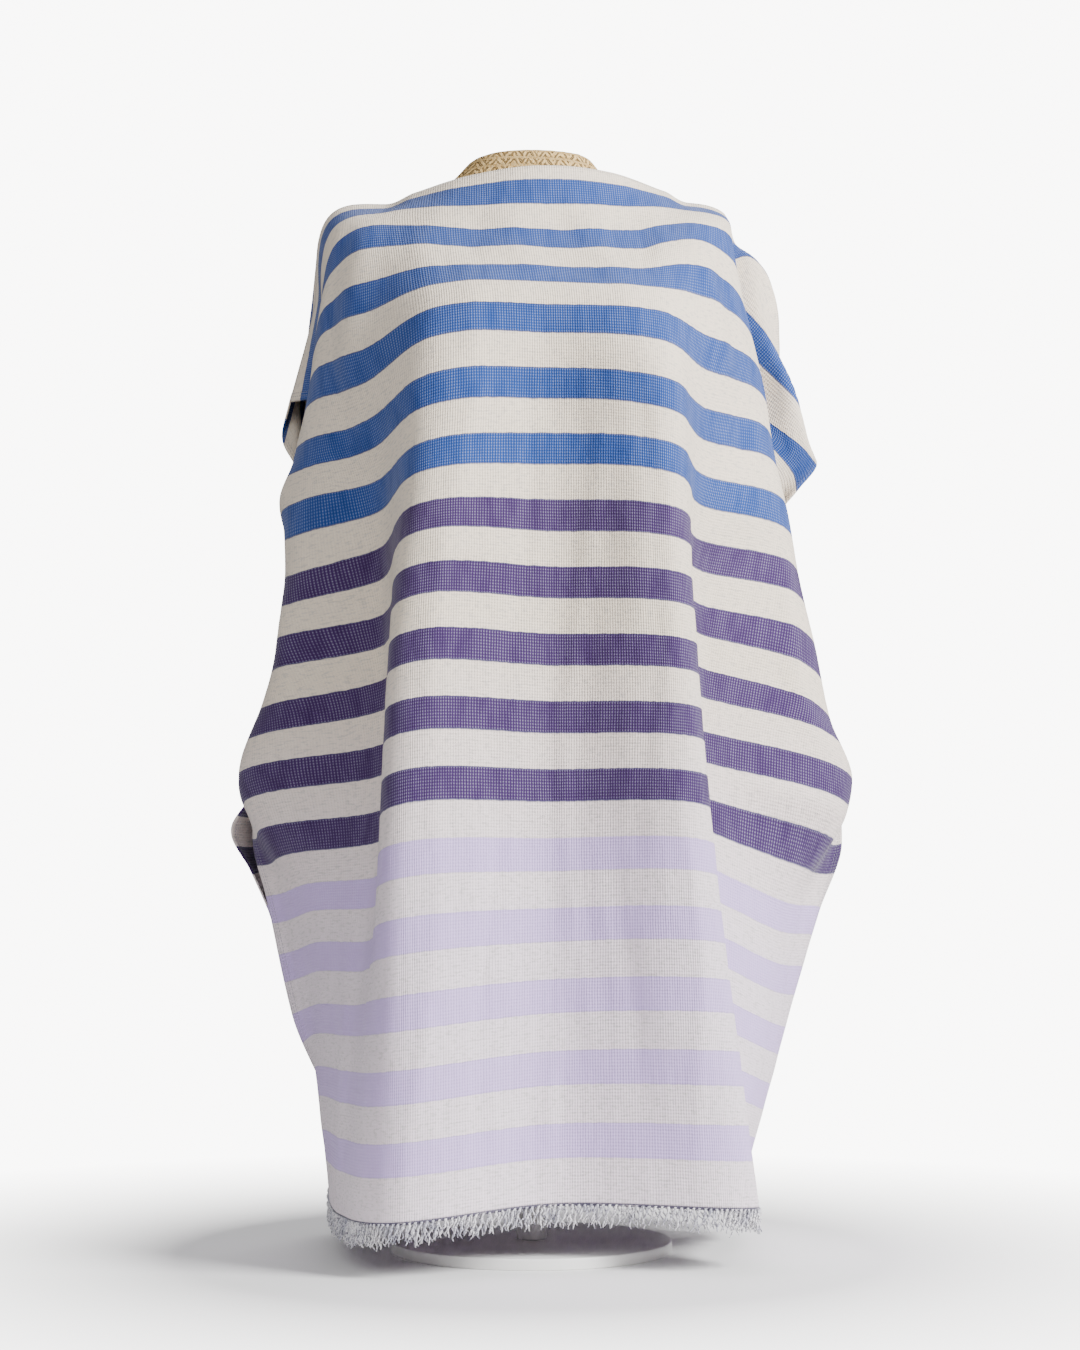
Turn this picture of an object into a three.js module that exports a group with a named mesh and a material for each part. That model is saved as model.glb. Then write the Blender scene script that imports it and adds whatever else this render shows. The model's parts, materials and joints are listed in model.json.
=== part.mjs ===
// Towel poncho on a limbless dress form, in millimetres, +Z up, front towards -Y.
// The origin is the middle of the stand's underside.
//
// The poncho is one striped flat-woven towel, folded over the shoulders, slit for the neck and
// sewn up the sides below the sleeves. Its two halves are walls of cloth whose middle surface is
// drawn through fold lines: each line follows one ridge, valley or edge from the shoulder (v = 0)
// down to the hem. u is the distance across the cloth from the form's middle, v the distance down.
import * as THREE from 'three';

// ---- driving dimensions ----
const CLOTH_THICKNESS = 1.6;
const CLOTH_LENGTH = 1000; // from the shoulder to the hem, one half
const LEFT_EDGE = -410; // u of the two side edges: the cloth is 860 wide
const RIGHT_EDGE = 450; // and worn 20 off centre
const SEAM_GAP = 0.3;
const SEAM_ROOM = 1.5; // a wall's half thickness at a seam, with room for the seam's twist
const SHARPEST_SEAM = 0.95; // cosine of the least angle between two halves at a seam
const SHOULDER_EASE = 60; // length over which a half comes to the shoulder line
const SLIT_CENTRE = 5;
const SLIT_HALF = 157; // half the length of the neck slit
const SLIT_EASE = 30;
const SLEEVE_LENGTH = 205; // the side seams run from here
const SIDE_SEAM_END = 565; // to here
const SIDE_EASE = 40;
const FOLD_SOFTNESS = 8;
const HEM_HEIGHT = 62; // of the front hem's middle above the floor

const FRINGE_GAP = 0.6; // below the hem
const FRINGE_STRIP = 3; // height of the strip the strands are fused to
const FRINGE_LENGTH = 24;
const FRINGE_STRANDS = 76; // on each half
const STRAND_SWAY = 3;
const STRAND_LEAN = 2;
const STRAND_TAPER = 0.3; // share of its thickness that a strand loses at its knee

const POLE_RADIUS = 14;
const POLE_SIDES = 24;
const BASE_RADIUS = 130;
const BASE_THICKNESS = 10;
const BASE_SIDES = 48;
const FORM_SIDES = 32;
const FORM_FULLNESS = 0.86; // below 1 the form's sections are fuller than an ellipse

const FRONT_COLUMNS = 42;
const BACK_COLUMNS = 34;
const CLOTH_ROWS = 28;

// ---- fold lines of the front half ----
// z is measured from the front hem's middle.
const FRONT_LINES = {
  leftEdge: [
    { v: 0, u: -410, x: -234, y: 34, z: 745 },
    { v: 38, u: -410, x: -212, y: 4, z: 738 },
    { v: 90, u: -410, x: -194, y: 14, z: 708 },
    { v: 150, u: -410, x: -190, y: 22, z: 658 },
    { v: 205, u: -410, x: -206, y: 24, z: 626 },
    { v: 260, u: -410, x: -190, y: 26, z: 596 },
    { v: 321, u: -410, x: -178, y: 27, z: 552 },
    { v: 382, u: -410, x: -188, y: 27, z: 500 },
    { v: 443, u: -410, x: -206, y: 27, z: 450 },
    { v: 504, u: -410, x: -230, y: 27, z: 402 },
    { v: 565, u: -410, x: -262, y: 28, z: 365 },
    { v: 626, u: -410, x: -262, y: 30, z: 318 },
    { v: 690, u: -410, x: -248, y: 45, z: 262 },
    { v: 810, u: -410, x: -222, y: 62, z: 152 },
    { v: 930, u: -410, x: -180, y: 70, z: 40 },
    { v: 1000, u: -410, x: -180, y: 76, z: -22 },
  ],
  leftCuff: [
    { v: 0, u: -310, x: -212, y: 38, z: 838 },
    { v: 38, u: -315, x: -206, y: 4, z: 828 },
    { v: 90, u: -325, x: -204, y: 8, z: 780 },
    { v: 150, u: -335, x: -208, y: 14, z: 748 },
    { v: 205, u: -336, x: -218, y: 16, z: 720 },
    { v: 275, u: -334, x: -230, y: 12, z: 672 },
    { v: 305, u: -330, x: -243, y: 10, z: 637.1 },
    { v: 340, u: -328, x: -236.1, y: 6, z: 604.4 },
    { v: 390, u: -334, x: -226.1, y: 8.1, z: 554.3 },
    { v: 443, u: -348, x: -232.1, y: 8, z: 498.3 },
    { v: 565, u: -396, x: -272.9, y: 14, z: 371.4 },
    { v: 690, u: -385, x: -234, y: 30, z: 264 },
    { v: 850, u: -385, x: -202, y: 48, z: 122 },
    { v: 1000, u: -386, x: -182, y: 54, z: -22 },
  ],
  leftSide: [
    { v: 0, u: -213, x: -197, y: 30, z: 936 },
    { v: 77, u: -217, x: -194, y: -15, z: 888 },
    { v: 138, u: -238, x: -205, y: -20, z: 822 },
    { v: 199, u: -262, x: -212, y: -16, z: 762 },
    { v: 260, u: -286, x: -221.2, y: -27, z: 690.1 },
    { v: 321, u: -294, x: -228.3, y: -32, z: 630.3 },
    { v: 382, u: -300, x: -233.3, y: -38, z: 559 },
    { v: 443, u: -316, x: -241.2, y: -33, z: 500.9 },
    { v: 504, u: -350, x: -254, y: -28, z: 436.8 },
    { v: 565, u: -378, x: -275.7, y: -10, z: 378.1 },
    { v: 620, u: -380, x: -261.9, y: 0, z: 329.2 },
    { v: 690, u: -340, x: -212, y: -10, z: 272 },
    { v: 850, u: -334, x: -194, y: -4, z: 126 },
    { v: 1000, u: -336, x: -186, y: 4, z: -18 },
  ],
  leftValley: [
    { v: 0, u: -135, x: -128, y: 6, z: 948 },
    { v: 77, u: -152, x: -152, y: -36, z: 902 },
    { v: 138, u: -164, x: -158, y: -66, z: 838 },
    { v: 199, u: -178, x: -166, y: -78, z: 768 },
    { v: 260, u: -196, x: -162, y: -84, z: 700 },
    { v: 321, u: -214, x: -156, y: -84, z: 641 },
    { v: 443, u: -234, x: -148, y: -80, z: 518 },
    { v: 565, u: -248, x: -145, y: -80, z: 400 },
    { v: 690, u: -256, x: -151, y: -84, z: 276 },
    { v: 850, u: -262, x: -172, y: -82, z: 126 },
    { v: 1000, u: -262, x: -180, y: -78, z: -20 },
  ],
  leftRidge: [
    { v: 0, u: -72, x: -70, y: -32, z: 957 },
    { v: 77, u: -92, x: -92, y: -62, z: 894 },
    { v: 138, u: -104, x: -103, y: -98, z: 844 },
    { v: 199, u: -112.5, x: -108.8, y: -130, z: 793.6 },
    { v: 260, u: -117.8, x: -113.4, y: -144, z: 727.7 },
    { v: 321, u: -122.4, x: -117.2, y: -148.7, z: 664.1 },
    { v: 443, u: -135, x: -129.8, y: -155, z: 548.8 },
    { v: 565, u: -146.7, x: -140.6, y: -155.8, z: 428 },
    { v: 690, u: -153.1, x: -144.6, y: -157.3, z: 299.8 },
    { v: 850, u: -150.7, x: -142.7, y: -162.7, z: 130.9 },
    { v: 1000, u: -148.2, x: -142.1, y: -167, z: -17 },
  ],
  centre: [
    { v: 0, u: 0, x: 0, y: -48, z: 966 },
    { v: 77, u: 0, x: 0, y: -72, z: 894 },
    { v: 138, u: 0, x: 0.7, y: -103, z: 846.7 },
    { v: 199, u: 0, x: 1.7, y: -133, z: 800.8 },
    { v: 260, u: 0, x: 2.2, y: -136, z: 740.6 },
    { v: 443, u: 0, x: 2.5, y: -134, z: 556.4 },
    { v: 690, u: 0, x: 2.9, y: -129, z: 309.1 },
    { v: 1000, u: 0, x: 2.8, y: -130, z: -7.4 },
  ],
  rightRidge: [
    { v: 0, u: 72, x: 72, y: -32, z: 969 },
    { v: 77, u: 86, x: 86, y: -62, z: 900 },
    { v: 138, u: 97, x: 95, y: -100, z: 850 },
    { v: 199, u: 108.6, x: 102.4, y: -134.4, z: 798.3 },
    { v: 260, u: 115.3, x: 106.2, y: -153.2, z: 729.2 },
    { v: 321, u: 118.8, x: 109, y: -154.3, z: 669.4 },
    { v: 443, u: 128.7, x: 117, y: -154.4, z: 549.5 },
    { v: 565, u: 137.7, x: 126.9, y: -154.5, z: 429.6 },
    { v: 690, u: 151.2, x: 136.7, y: -154.6, z: 306.8 },
    { v: 850, u: 173, x: 157, y: -154.8, z: 146.2 },
    { v: 1000, u: 192, x: 177, y: -153, z: -11 },
  ],
  rightValley: [
    { v: 0, u: 130, x: 132, y: 4, z: 966 },
    { v: 77, u: 148, x: 144, y: -42, z: 916 },
    { v: 138, u: 158, x: 146, y: -74, z: 864 },
    { v: 199, u: 172, x: 153, y: -88, z: 792 },
    { v: 260, u: 188, x: 147, y: -94, z: 721 },
    { v: 321, u: 198, x: 146, y: -92, z: 657 },
    { v: 443, u: 224, x: 143, y: -74, z: 538 },
    { v: 565, u: 238, x: 143, y: -72, z: 420 },
    { v: 690, u: 252, x: 150, y: -70, z: 292 },
    { v: 850, u: 268, x: 154, y: -72, z: 138 },
    { v: 1000, u: 284, x: 168, y: -76, z: -14 },
  ],
  rightSide: [
    { v: 0, u: 207, x: 206, y: 34, z: 952 },
    { v: 77, u: 212, x: 197, y: -15, z: 914 },
    { v: 138, u: 248, x: 210, y: -15, z: 845 },
    { v: 199, u: 282, x: 227, y: -5, z: 781 },
    { v: 260, u: 309, x: 237, y: -5, z: 716 },
    { v: 321, u: 332, x: 252, y: -5, z: 643 },
    { v: 382, u: 352, x: 264, y: 0, z: 576 },
    { v: 443, u: 374, x: 280, y: 0, z: 506 },
    { v: 504, u: 398, x: 295, y: 5, z: 432 },
    { v: 565, u: 424, x: 318, y: 10, z: 378 },
    { v: 600, u: 420, x: 312, y: 10, z: 346 },
    { v: 690, u: 364, x: 246, y: 0, z: 256 },
    { v: 850, u: 344, x: 216, y: -10, z: 112 },
    { v: 1000, u: 350, x: 192, y: -8, z: -18 },
  ],
  rightTuck: [
    { v: 0, u: 216, x: 206, y: 44, z: 932 },
    { v: 77, u: 262, x: 205, y: 22, z: 874 },
    { v: 106, u: 300, x: 211, y: 25, z: 828 },
    { v: 138, u: 340, x: 220, y: 20, z: 762 },
    { v: 205, u: 370, x: 226, y: 8, z: 712 },
    { v: 260, u: 384, x: 230, y: 6, z: 662 },
    { v: 321, u: 396, x: 228, y: 14, z: 604 },
    { v: 382, u: 404, x: 240, y: 16, z: 542 },
    { v: 443, u: 414, x: 262, y: 20, z: 480 },
    { v: 504, u: 426, x: 282, y: 20, z: 415 },
    { v: 565, u: 437, x: 316, y: 20, z: 372 },
    { v: 690, u: 410, x: 268, y: 22, z: 254 },
    { v: 850, u: 395, x: 238, y: 32, z: 104 },
    { v: 1000, u: 400, x: 204, y: 36, z: -22 },
  ],
  rightCuff: [
    { v: 0, u: 230, x: 209, y: 50, z: 920 },
    { v: 45, u: 256, x: 220, y: 25, z: 911 },
    { v: 77, u: 330, x: 243, y: 20, z: 823 },
    { v: 106, u: 392, x: 268, y: 10, z: 753 },
    { v: 138, u: 425, x: 276, y: 8, z: 706 },
    { v: 205, u: 425, x: 238, y: 14, z: 655 },
    { v: 260, u: 425, x: 220, y: 22, z: 620 },
    { v: 321, u: 425, x: 204, y: 22, z: 574 },
    { v: 443, u: 434, x: 248, y: 25, z: 462 },
    { v: 565, u: 445, x: 313, y: 24, z: 370 },
    { v: 690, u: 432, x: 286, y: 36, z: 254 },
    { v: 850, u: 425, x: 247, y: 56, z: 102 },
    { v: 1000, u: 426, x: 210, y: 60, z: -22 },
  ],
  rightEdge: [
    { v: 0, u: 450, x: 252, y: 112, z: 742 },
    { v: 60, u: 450, x: 268, y: 60, z: 722 },
    { v: 106, u: 450, x: 284, y: 22, z: 706 },
    { v: 138, u: 450, x: 286, y: 6, z: 691 },
    { v: 167, u: 450, x: 265, y: 4, z: 664 },
    { v: 205, u: 450, x: 243, y: 20, z: 632 },
    { v: 260, u: 450, x: 208, y: 30, z: 595 },
    { v: 321, u: 450, x: 180, y: 30, z: 550 },
    { v: 382, u: 450, x: 200, y: 30, z: 500 },
    { v: 443, u: 450, x: 235, y: 30, z: 450 },
    { v: 504, u: 450, x: 266, y: 30, z: 396 },
    { v: 565, u: 450, x: 308, y: 30, z: 362 },
    { v: 626, u: 450, x: 311, y: 30, z: 318 },
    { v: 690, u: 450, x: 292, y: 50, z: 252 },
    { v: 810, u: 450, x: 259, y: 66, z: 140 },
    { v: 930, u: 450, x: 226, y: 76, z: 36 },
    { v: 1000, u: 450, x: 212, y: 82, z: -22 },
  ],
};

// ---- fold lines of the back half ----
const BACK_LINES = {
  leftEdge: [
    { v: 0, u: -410, x: -234, y: 34, z: 745 },
    { v: 36, u: -410, x: -241, y: 48, z: 712 },
    { v: 70, u: -410, x: -228, y: 44, z: 684 },
    { v: 130, u: -410, x: -206, y: 62, z: 642 },
    { v: 205, u: -410, x: -206, y: 24, z: 626 },
    { v: 260, u: -410, x: -190, y: 26, z: 596 },
    { v: 321, u: -410, x: -178, y: 27, z: 552 },
    { v: 382, u: -410, x: -188, y: 27, z: 500 },
    { v: 443, u: -410, x: -206, y: 27, z: 450 },
    { v: 504, u: -410, x: -230, y: 27, z: 402 },
    { v: 565, u: -410, x: -262, y: 28, z: 364 },
    { v: 610, u: -410, x: -283, y: 44, z: 326 },
    { v: 650, u: -410, x: -264, y: 60, z: 290 },
    { v: 740, u: -410, x: -228, y: 74, z: 208 },
    { v: 850, u: -410, x: -194, y: 84, z: 104 },
    { v: 1000, u: -410, x: -176, y: 90, z: -24 },
  ],
  leftCuff: [
    { v: 0, u: -310, x: -212, y: 38, z: 838 },
    { v: 60, u: -315, x: -220, y: 66, z: 786 },
    { v: 130, u: -330, x: -220, y: 78, z: 722 },
    { v: 205, u: -350, x: -222, y: 60, z: 672 },
    { v: 321, u: -358, x: -212, y: 46, z: 586 },
    { v: 443, u: -382, x: -226, y: 46, z: 470 },
    { v: 565, u: -390, x: -268, y: 52, z: 366 },
    { v: 610, u: -384, x: -268, y: 66, z: 326 },
    { v: 690, u: -374, x: -246, y: 98, z: 258 },
    { v: 850, u: -376, x: -196, y: 112, z: 108 },
    { v: 1000, u: -376, x: -180, y: 120, z: -22 },
  ],
  leftSide: [
    { v: 0, u: -213, x: -197, y: 30, z: 936 },
    { v: 77, u: -240, x: -206, y: 78, z: 852 },
    { v: 150, u: -262, x: -216, y: 84, z: 785 },
    { v: 260, u: -282, x: -222, y: 76, z: 690 },
    { v: 382, u: -316, x: -234, y: 70, z: 562 },
    { v: 504, u: -348, x: -252, y: 70, z: 436 },
    { v: 600, u: -344, x: -258, y: 92, z: 342 },
    { v: 690, u: -326, x: -235, y: 136, z: 258 },
    { v: 850, u: -320, x: -191, y: 156, z: 110 },
    { v: 1000, u: -318, x: -174, y: 162, z: -20 },
  ],
  leftValley: [
    { v: 0, u: -140, x: -132, y: 32, z: 944 },
    { v: 77, u: -150, x: -142, y: 92, z: 892 },
    { v: 150, u: -166, x: -150, y: 112, z: 816 },
    { v: 260, u: -196, x: -160, y: 104, z: 712 },
    { v: 382, u: -226, x: -160, y: 90, z: 588 },
    { v: 504, u: -244, x: -158, y: 82, z: 466 },
    { v: 690, u: -240, x: -150, y: 84, z: 282 },
    { v: 850, u: -238, x: -146, y: 88, z: 124 },
    { v: 1000, u: -240, x: -140, y: 94, z: -18 },
  ],
  leftRidge: [
    { v: 0, u: -72, x: -70, y: 66, z: 958 },
    { v: 77, u: -84, x: -82, y: 104, z: 892 },
    { v: 150, u: -98, x: -96, y: 130, z: 824 },
    { v: 260, u: -120, x: -112, y: 150, z: 717 },
    { v: 382, u: -136, x: -124, y: 164, z: 596 },
    { v: 504, u: -146, x: -132, y: 172, z: 474 },
    { v: 690, u: -146, x: -132, y: 178, z: 290 },
    { v: 850, u: -144, x: -130, y: 184, z: 132 },
    { v: 1000, u: -142, x: -128, y: 188, z: -14 },
  ],
  centre: [
    { v: 0, u: 0, x: 0, y: 82, z: 960 },
    { v: 77, u: 0, x: 0, y: 108, z: 888 },
    { v: 150, u: 0, x: 0, y: 120, z: 817 },
    { v: 260, u: 0, x: 0, y: 126, z: 708 },
    { v: 443, u: 0, x: 0, y: 130, z: 526 },
    { v: 690, u: 0, x: 0, y: 132, z: 280 },
    { v: 1000, u: 0, x: 0, y: 134, z: -24 },
  ],
  rightRidge: [
    { v: 0, u: 72, x: 70, y: 66, z: 962 },
    { v: 77, u: 84, x: 82, y: 104, z: 894 },
    { v: 150, u: 98, x: 96, y: 128, z: 826 },
    { v: 260, u: 118, x: 112, y: 148, z: 718 },
    { v: 382, u: 134, x: 124, y: 162, z: 598 },
    { v: 504, u: 146, x: 134, y: 170, z: 476 },
    { v: 690, u: 150, x: 136, y: 176, z: 291 },
    { v: 850, u: 152, x: 138, y: 182, z: 132 },
    { v: 1000, u: 154, x: 140, y: 188, z: -14 },
  ],
  rightValley: [
    { v: 0, u: 140, x: 138, y: 34, z: 958 },
    { v: 77, u: 150, x: 144, y: 92, z: 898 },
    { v: 150, u: 168, x: 154, y: 110, z: 822 },
    { v: 260, u: 196, x: 164, y: 100, z: 714 },
    { v: 382, u: 226, x: 162, y: 86, z: 590 },
    { v: 504, u: 246, x: 164, y: 80, z: 468 },
    { v: 690, u: 250, x: 160, y: 82, z: 284 },
    { v: 850, u: 250, x: 158, y: 86, z: 124 },
    { v: 1000, u: 252, x: 156, y: 94, z: -18 },
  ],
  rightSide: [
    { v: 0, u: 207, x: 206, y: 34, z: 952 },
    { v: 77, u: 246, x: 208, y: 84, z: 872 },
    { v: 150, u: 280, x: 226, y: 98, z: 800 },
    { v: 260, u: 312, x: 240, y: 86, z: 700 },
    { v: 382, u: 352, x: 264, y: 76, z: 572 },
    { v: 504, u: 392, x: 292, y: 70, z: 440 },
    { v: 600, u: 388, x: 310, y: 88, z: 346 },
    { v: 690, u: 356, x: 280, y: 132, z: 262 },
    { v: 850, u: 346, x: 240, y: 154, z: 112 },
    { v: 1000, u: 342, x: 200, y: 164, z: -20 },
  ],
  rightCuff: [
    { v: 0, u: 330, x: 224, y: 74, z: 838 },
    { v: 60, u: 340, x: 226, y: 104, z: 790 },
    { v: 130, u: 360, x: 226, y: 98, z: 724 },
    { v: 205, u: 384, x: 234, y: 70, z: 676 },
    { v: 321, u: 404, x: 224, y: 54, z: 586 },
    { v: 443, u: 420, x: 256, y: 50, z: 466 },
    { v: 565, u: 432, x: 302, y: 54, z: 366 },
    { v: 690, u: 408, x: 286, y: 98, z: 252 },
    { v: 850, u: 404, x: 250, y: 116, z: 102 },
    { v: 1000, u: 404, x: 208, y: 124, z: -22 },
  ],
  rightEdge: [
    { v: 0, u: 450, x: 252, y: 112, z: 742 },
    { v: 60, u: 450, x: 234, y: 104, z: 686 },
    { v: 120, u: 450, x: 222, y: 76, z: 652 },
    { v: 165, u: 450, x: 230, y: 50, z: 642 },
    { v: 205, u: 450, x: 243, y: 20, z: 632 },
    { v: 260, u: 450, x: 208, y: 30, z: 595 },
    { v: 321, u: 450, x: 180, y: 30, z: 550 },
    { v: 382, u: 450, x: 200, y: 30, z: 500 },
    { v: 443, u: 450, x: 235, y: 30, z: 450 },
    { v: 504, u: 450, x: 266, y: 30, z: 396 },
    { v: 565, u: 450, x: 308, y: 30, z: 362 },
    { v: 626, u: 450, x: 308, y: 42, z: 314 },
    { v: 690, u: 450, x: 288, y: 70, z: 250 },
    { v: 810, u: 450, x: 258, y: 84, z: 136 },
    { v: 1000, u: 450, x: 210, y: 94, z: -22 },
  ],
};

// ---- sections of the dress form ----
// half is half its width, front and back its depths from the pole, bust the swell of its front.
const FORM_SECTIONS = [
  { z: 520, half: 120, front: 78, back: 74, bust: 0 },
  { z: 535, half: 148, front: 98, back: 94, bust: 0 },
  { z: 580, half: 156, front: 106, back: 100, bust: 0 },
  { z: 640, half: 146, front: 100, back: 92, bust: 0 },
  { z: 710, half: 128, front: 90, back: 82, bust: 4 },
  { z: 760, half: 136, front: 94, back: 86, bust: 18 },
  { z: 800, half: 144, front: 98, back: 92, bust: 34 },
  { z: 835, half: 150, front: 96, back: 96, bust: 38 },
  { z: 870, half: 156, front: 84, back: 98, bust: 24 },
  { z: 905, half: 164, front: 70, back: 94, bust: 8 },
  { z: 940, half: 168, front: 52, back: 84, bust: 0 },
  { z: 965, half: 163, front: 46, back: 78, bust: 0 },
  { z: 985, half: 143, front: 43, back: 74, bust: 0 },
  { z: 998, half: 113, front: 42, back: 68, bust: 0 },
  { z: 1010, half: 95, front: 42, back: 65, bust: 0 },
  { z: 1024, half: 80, front: 42, back: 65, bust: 0 },
  { z: 1038, half: 68, front: 43, back: 66, bust: 0 },
  { z: 1050, half: 58, front: 44, back: 68, bust: 0 },
];
const BUST_SPACING = 190;
const BUST_WIDTH = 44;

// ---- curves ----
// Cubic through the rows of one table, as a function of key.
function sampler(rows, key, columns) {
  const at = rows.map((row) => row[key]);
  const slopes = columns.map((column) => {
    const steps = rows.slice(1).map((row, i) => (row[column] - rows[i][column]) / (at[i + 1] - at[i]));
    return rows.map((row, i) => {
      if (i === 0) return steps[0];
      if (i === rows.length - 1) return steps[i - 1];
      const before = at[i] - at[i - 1];
      const after = at[i + 1] - at[i];
      if (steps[i - 1] * steps[i] <= 0) return 0;
      const weightBefore = 2 * after + before;
      const weightAfter = after + 2 * before;
      return (weightBefore + weightAfter) / (weightBefore / steps[i - 1] + weightAfter / steps[i]);
    });
  });
  return (value) => {
    const t = Math.min(Math.max(value, at[0]), at[at.length - 1]);
    let i = 0;
    while (i < at.length - 2 && t > at[i + 1]) i += 1;
    const span = at[i + 1] - at[i];
    const s = (t - at[i]) / span;
    const result = {};
    columns.forEach((column, c) => {
      const a = rows[i][column];
      const b = rows[i + 1][column];
      const slopeA = slopes[c][i] * span;
      const slopeB = slopes[c][i + 1] * span;
      result[column] =
        (2 * s ** 3 - 3 * s ** 2 + 1) * a + (s ** 3 - 2 * s ** 2 + s) * slopeA +
        (3 * s ** 2 - 2 * s ** 3) * b + (s ** 3 - s ** 2) * slopeB;
    });
    return result;
  };
}

// A curve through the knots of one row of cloth, which turns evenly at each knot.
function foldCurve(knots) {
  const points = knots.map(({ x, y, z }) => new THREE.Vector3(x, y, z));
  const chords = points.slice(1).map((point, i) =>
    point.clone().sub(points[i]).divideScalar(knots[i + 1].u - knots[i].u));
  const tangents = knots.map((_, i) => {
    if (i === 0) return chords[0];
    if (i === knots.length - 1) return chords[i - 1];
    const pace = Math.min(chords[i - 1].length(), chords[i].length());
    return chords[i - 1].clone().normalize().add(chords[i].clone().normalize()).setLength(pace);
  });
  return (u) => {
    const at = Math.min(Math.max(u, knots[0].u), knots[knots.length - 1].u);
    let i = 0;
    while (i < knots.length - 2 && at > knots[i + 1].u) i += 1;
    const span = knots[i + 1].u - knots[i].u;
    const s = (at - knots[i].u) / span;
    return points[i].clone().multiplyScalar(2 * s ** 3 - 3 * s ** 2 + 1)
      .addScaledVector(tangents[i], (s ** 3 - 2 * s ** 2 + s) * span)
      .addScaledVector(points[i + 1], 3 * s ** 2 - 2 * s ** 3)
      .addScaledVector(tangents[i + 1], (s ** 3 - s ** 2) * span);
  };
}

// The cloth's middle surface: a point for each (u, v), its folds softened by averaging along u.
function clothSurface(lines) {
  const samplers = Object.values(lines).map((rows) => sampler(rows, 'v', ['u', 'x', 'y', 'z']));
  const curves = new Map();
  const raw = (u, v) => {
    if (!curves.has(v)) curves.set(v, foldCurve(samplers.map((line) => line(v))));
    const point = curves.get(v)(u);
    point.z += HEM_HEIGHT;
    return point;
  };
  return (u, v) => {
    const soft = Math.min(FOLD_SOFTNESS, u - LEFT_EDGE, RIGHT_EDGE - u);
    return raw(u - soft, v).add(raw(u + soft, v)).add(raw(u, v).multiplyScalar(2)).divideScalar(4);
  };
}

const smoothStep = (from, to, value) => {
  const t = Math.min(Math.max((value - from) / (to - from), 0), 1);
  return t * t * (3 - 2 * t);
};

// The point where a half ends at a seam with the other half. Both leave the seam inwards, and
// each stops short of it by what two thick walls need at the angle between them.
function seamEnd(surface, other, at, next, inside) {
  const middle = ([u, v]) => surface(u, v).add(other(u, v)).divideScalar(2);
  const seam = middle(at);
  const along = middle(next).sub(seam).normalize();
  const leaving = (half) => {
    const way = half(...inside).sub(seam);
    return way.addScaledVector(along, -way.dot(along)).normalize();
  };
  const own = leaving(surface);
  const cosine = Math.min(own.dot(leaving(other)), SHARPEST_SEAM);
  const short = SEAM_GAP + SEAM_ROOM * Math.sqrt((1 + cosine) / (1 - cosine));
  return seam.addScaledVector(own, short);
}

// Sews a half to the other along the shoulders, from the ends of the neck slit outwards.
function joinShoulders(surface, other) {
  return (u, v) => {
    const closed = smoothStep(SLIT_HALF - SLIT_EASE, SLIT_HALF, Math.abs(u - SLIT_CENTRE));
    const fade = (1 - smoothStep(0, SHOULDER_EASE, v)) * closed;
    const point = surface(u, v);
    if (fade === 0) return point;
    const end = seamEnd(surface, other, [u, 0], [u - Math.sign(u), 0], [u, SHOULDER_EASE / 2]);
    return point.addScaledVector(end.sub(surface(u, 0)), fade);
  };
}

// Sews a half to the other down the sides, below the sleeves.
function joinSides(surface, other) {
  return (u, v) => {
    const sewn = smoothStep(SLEEVE_LENGTH - SIDE_EASE, SLEEVE_LENGTH, v) *
      (1 - smoothStep(SIDE_SEAM_END, SIDE_SEAM_END + SIDE_EASE, v));
    const point = surface(u, v);
    const edge = u < 0 ? LEFT_EDGE : RIGHT_EDGE;
    const fade = sewn * (1 - smoothStep(0, SIDE_EASE, Math.abs(u - edge)));
    if (fade === 0) return point;
    const inside = edge - (Math.sign(edge) * SIDE_EASE) / 2;
    const end = seamEnd(surface, other, [edge, v], [edge, v + 1], [inside, v]);
    return point.addScaledVector(end.sub(surface(edge, v)), fade);
  };
}

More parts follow.
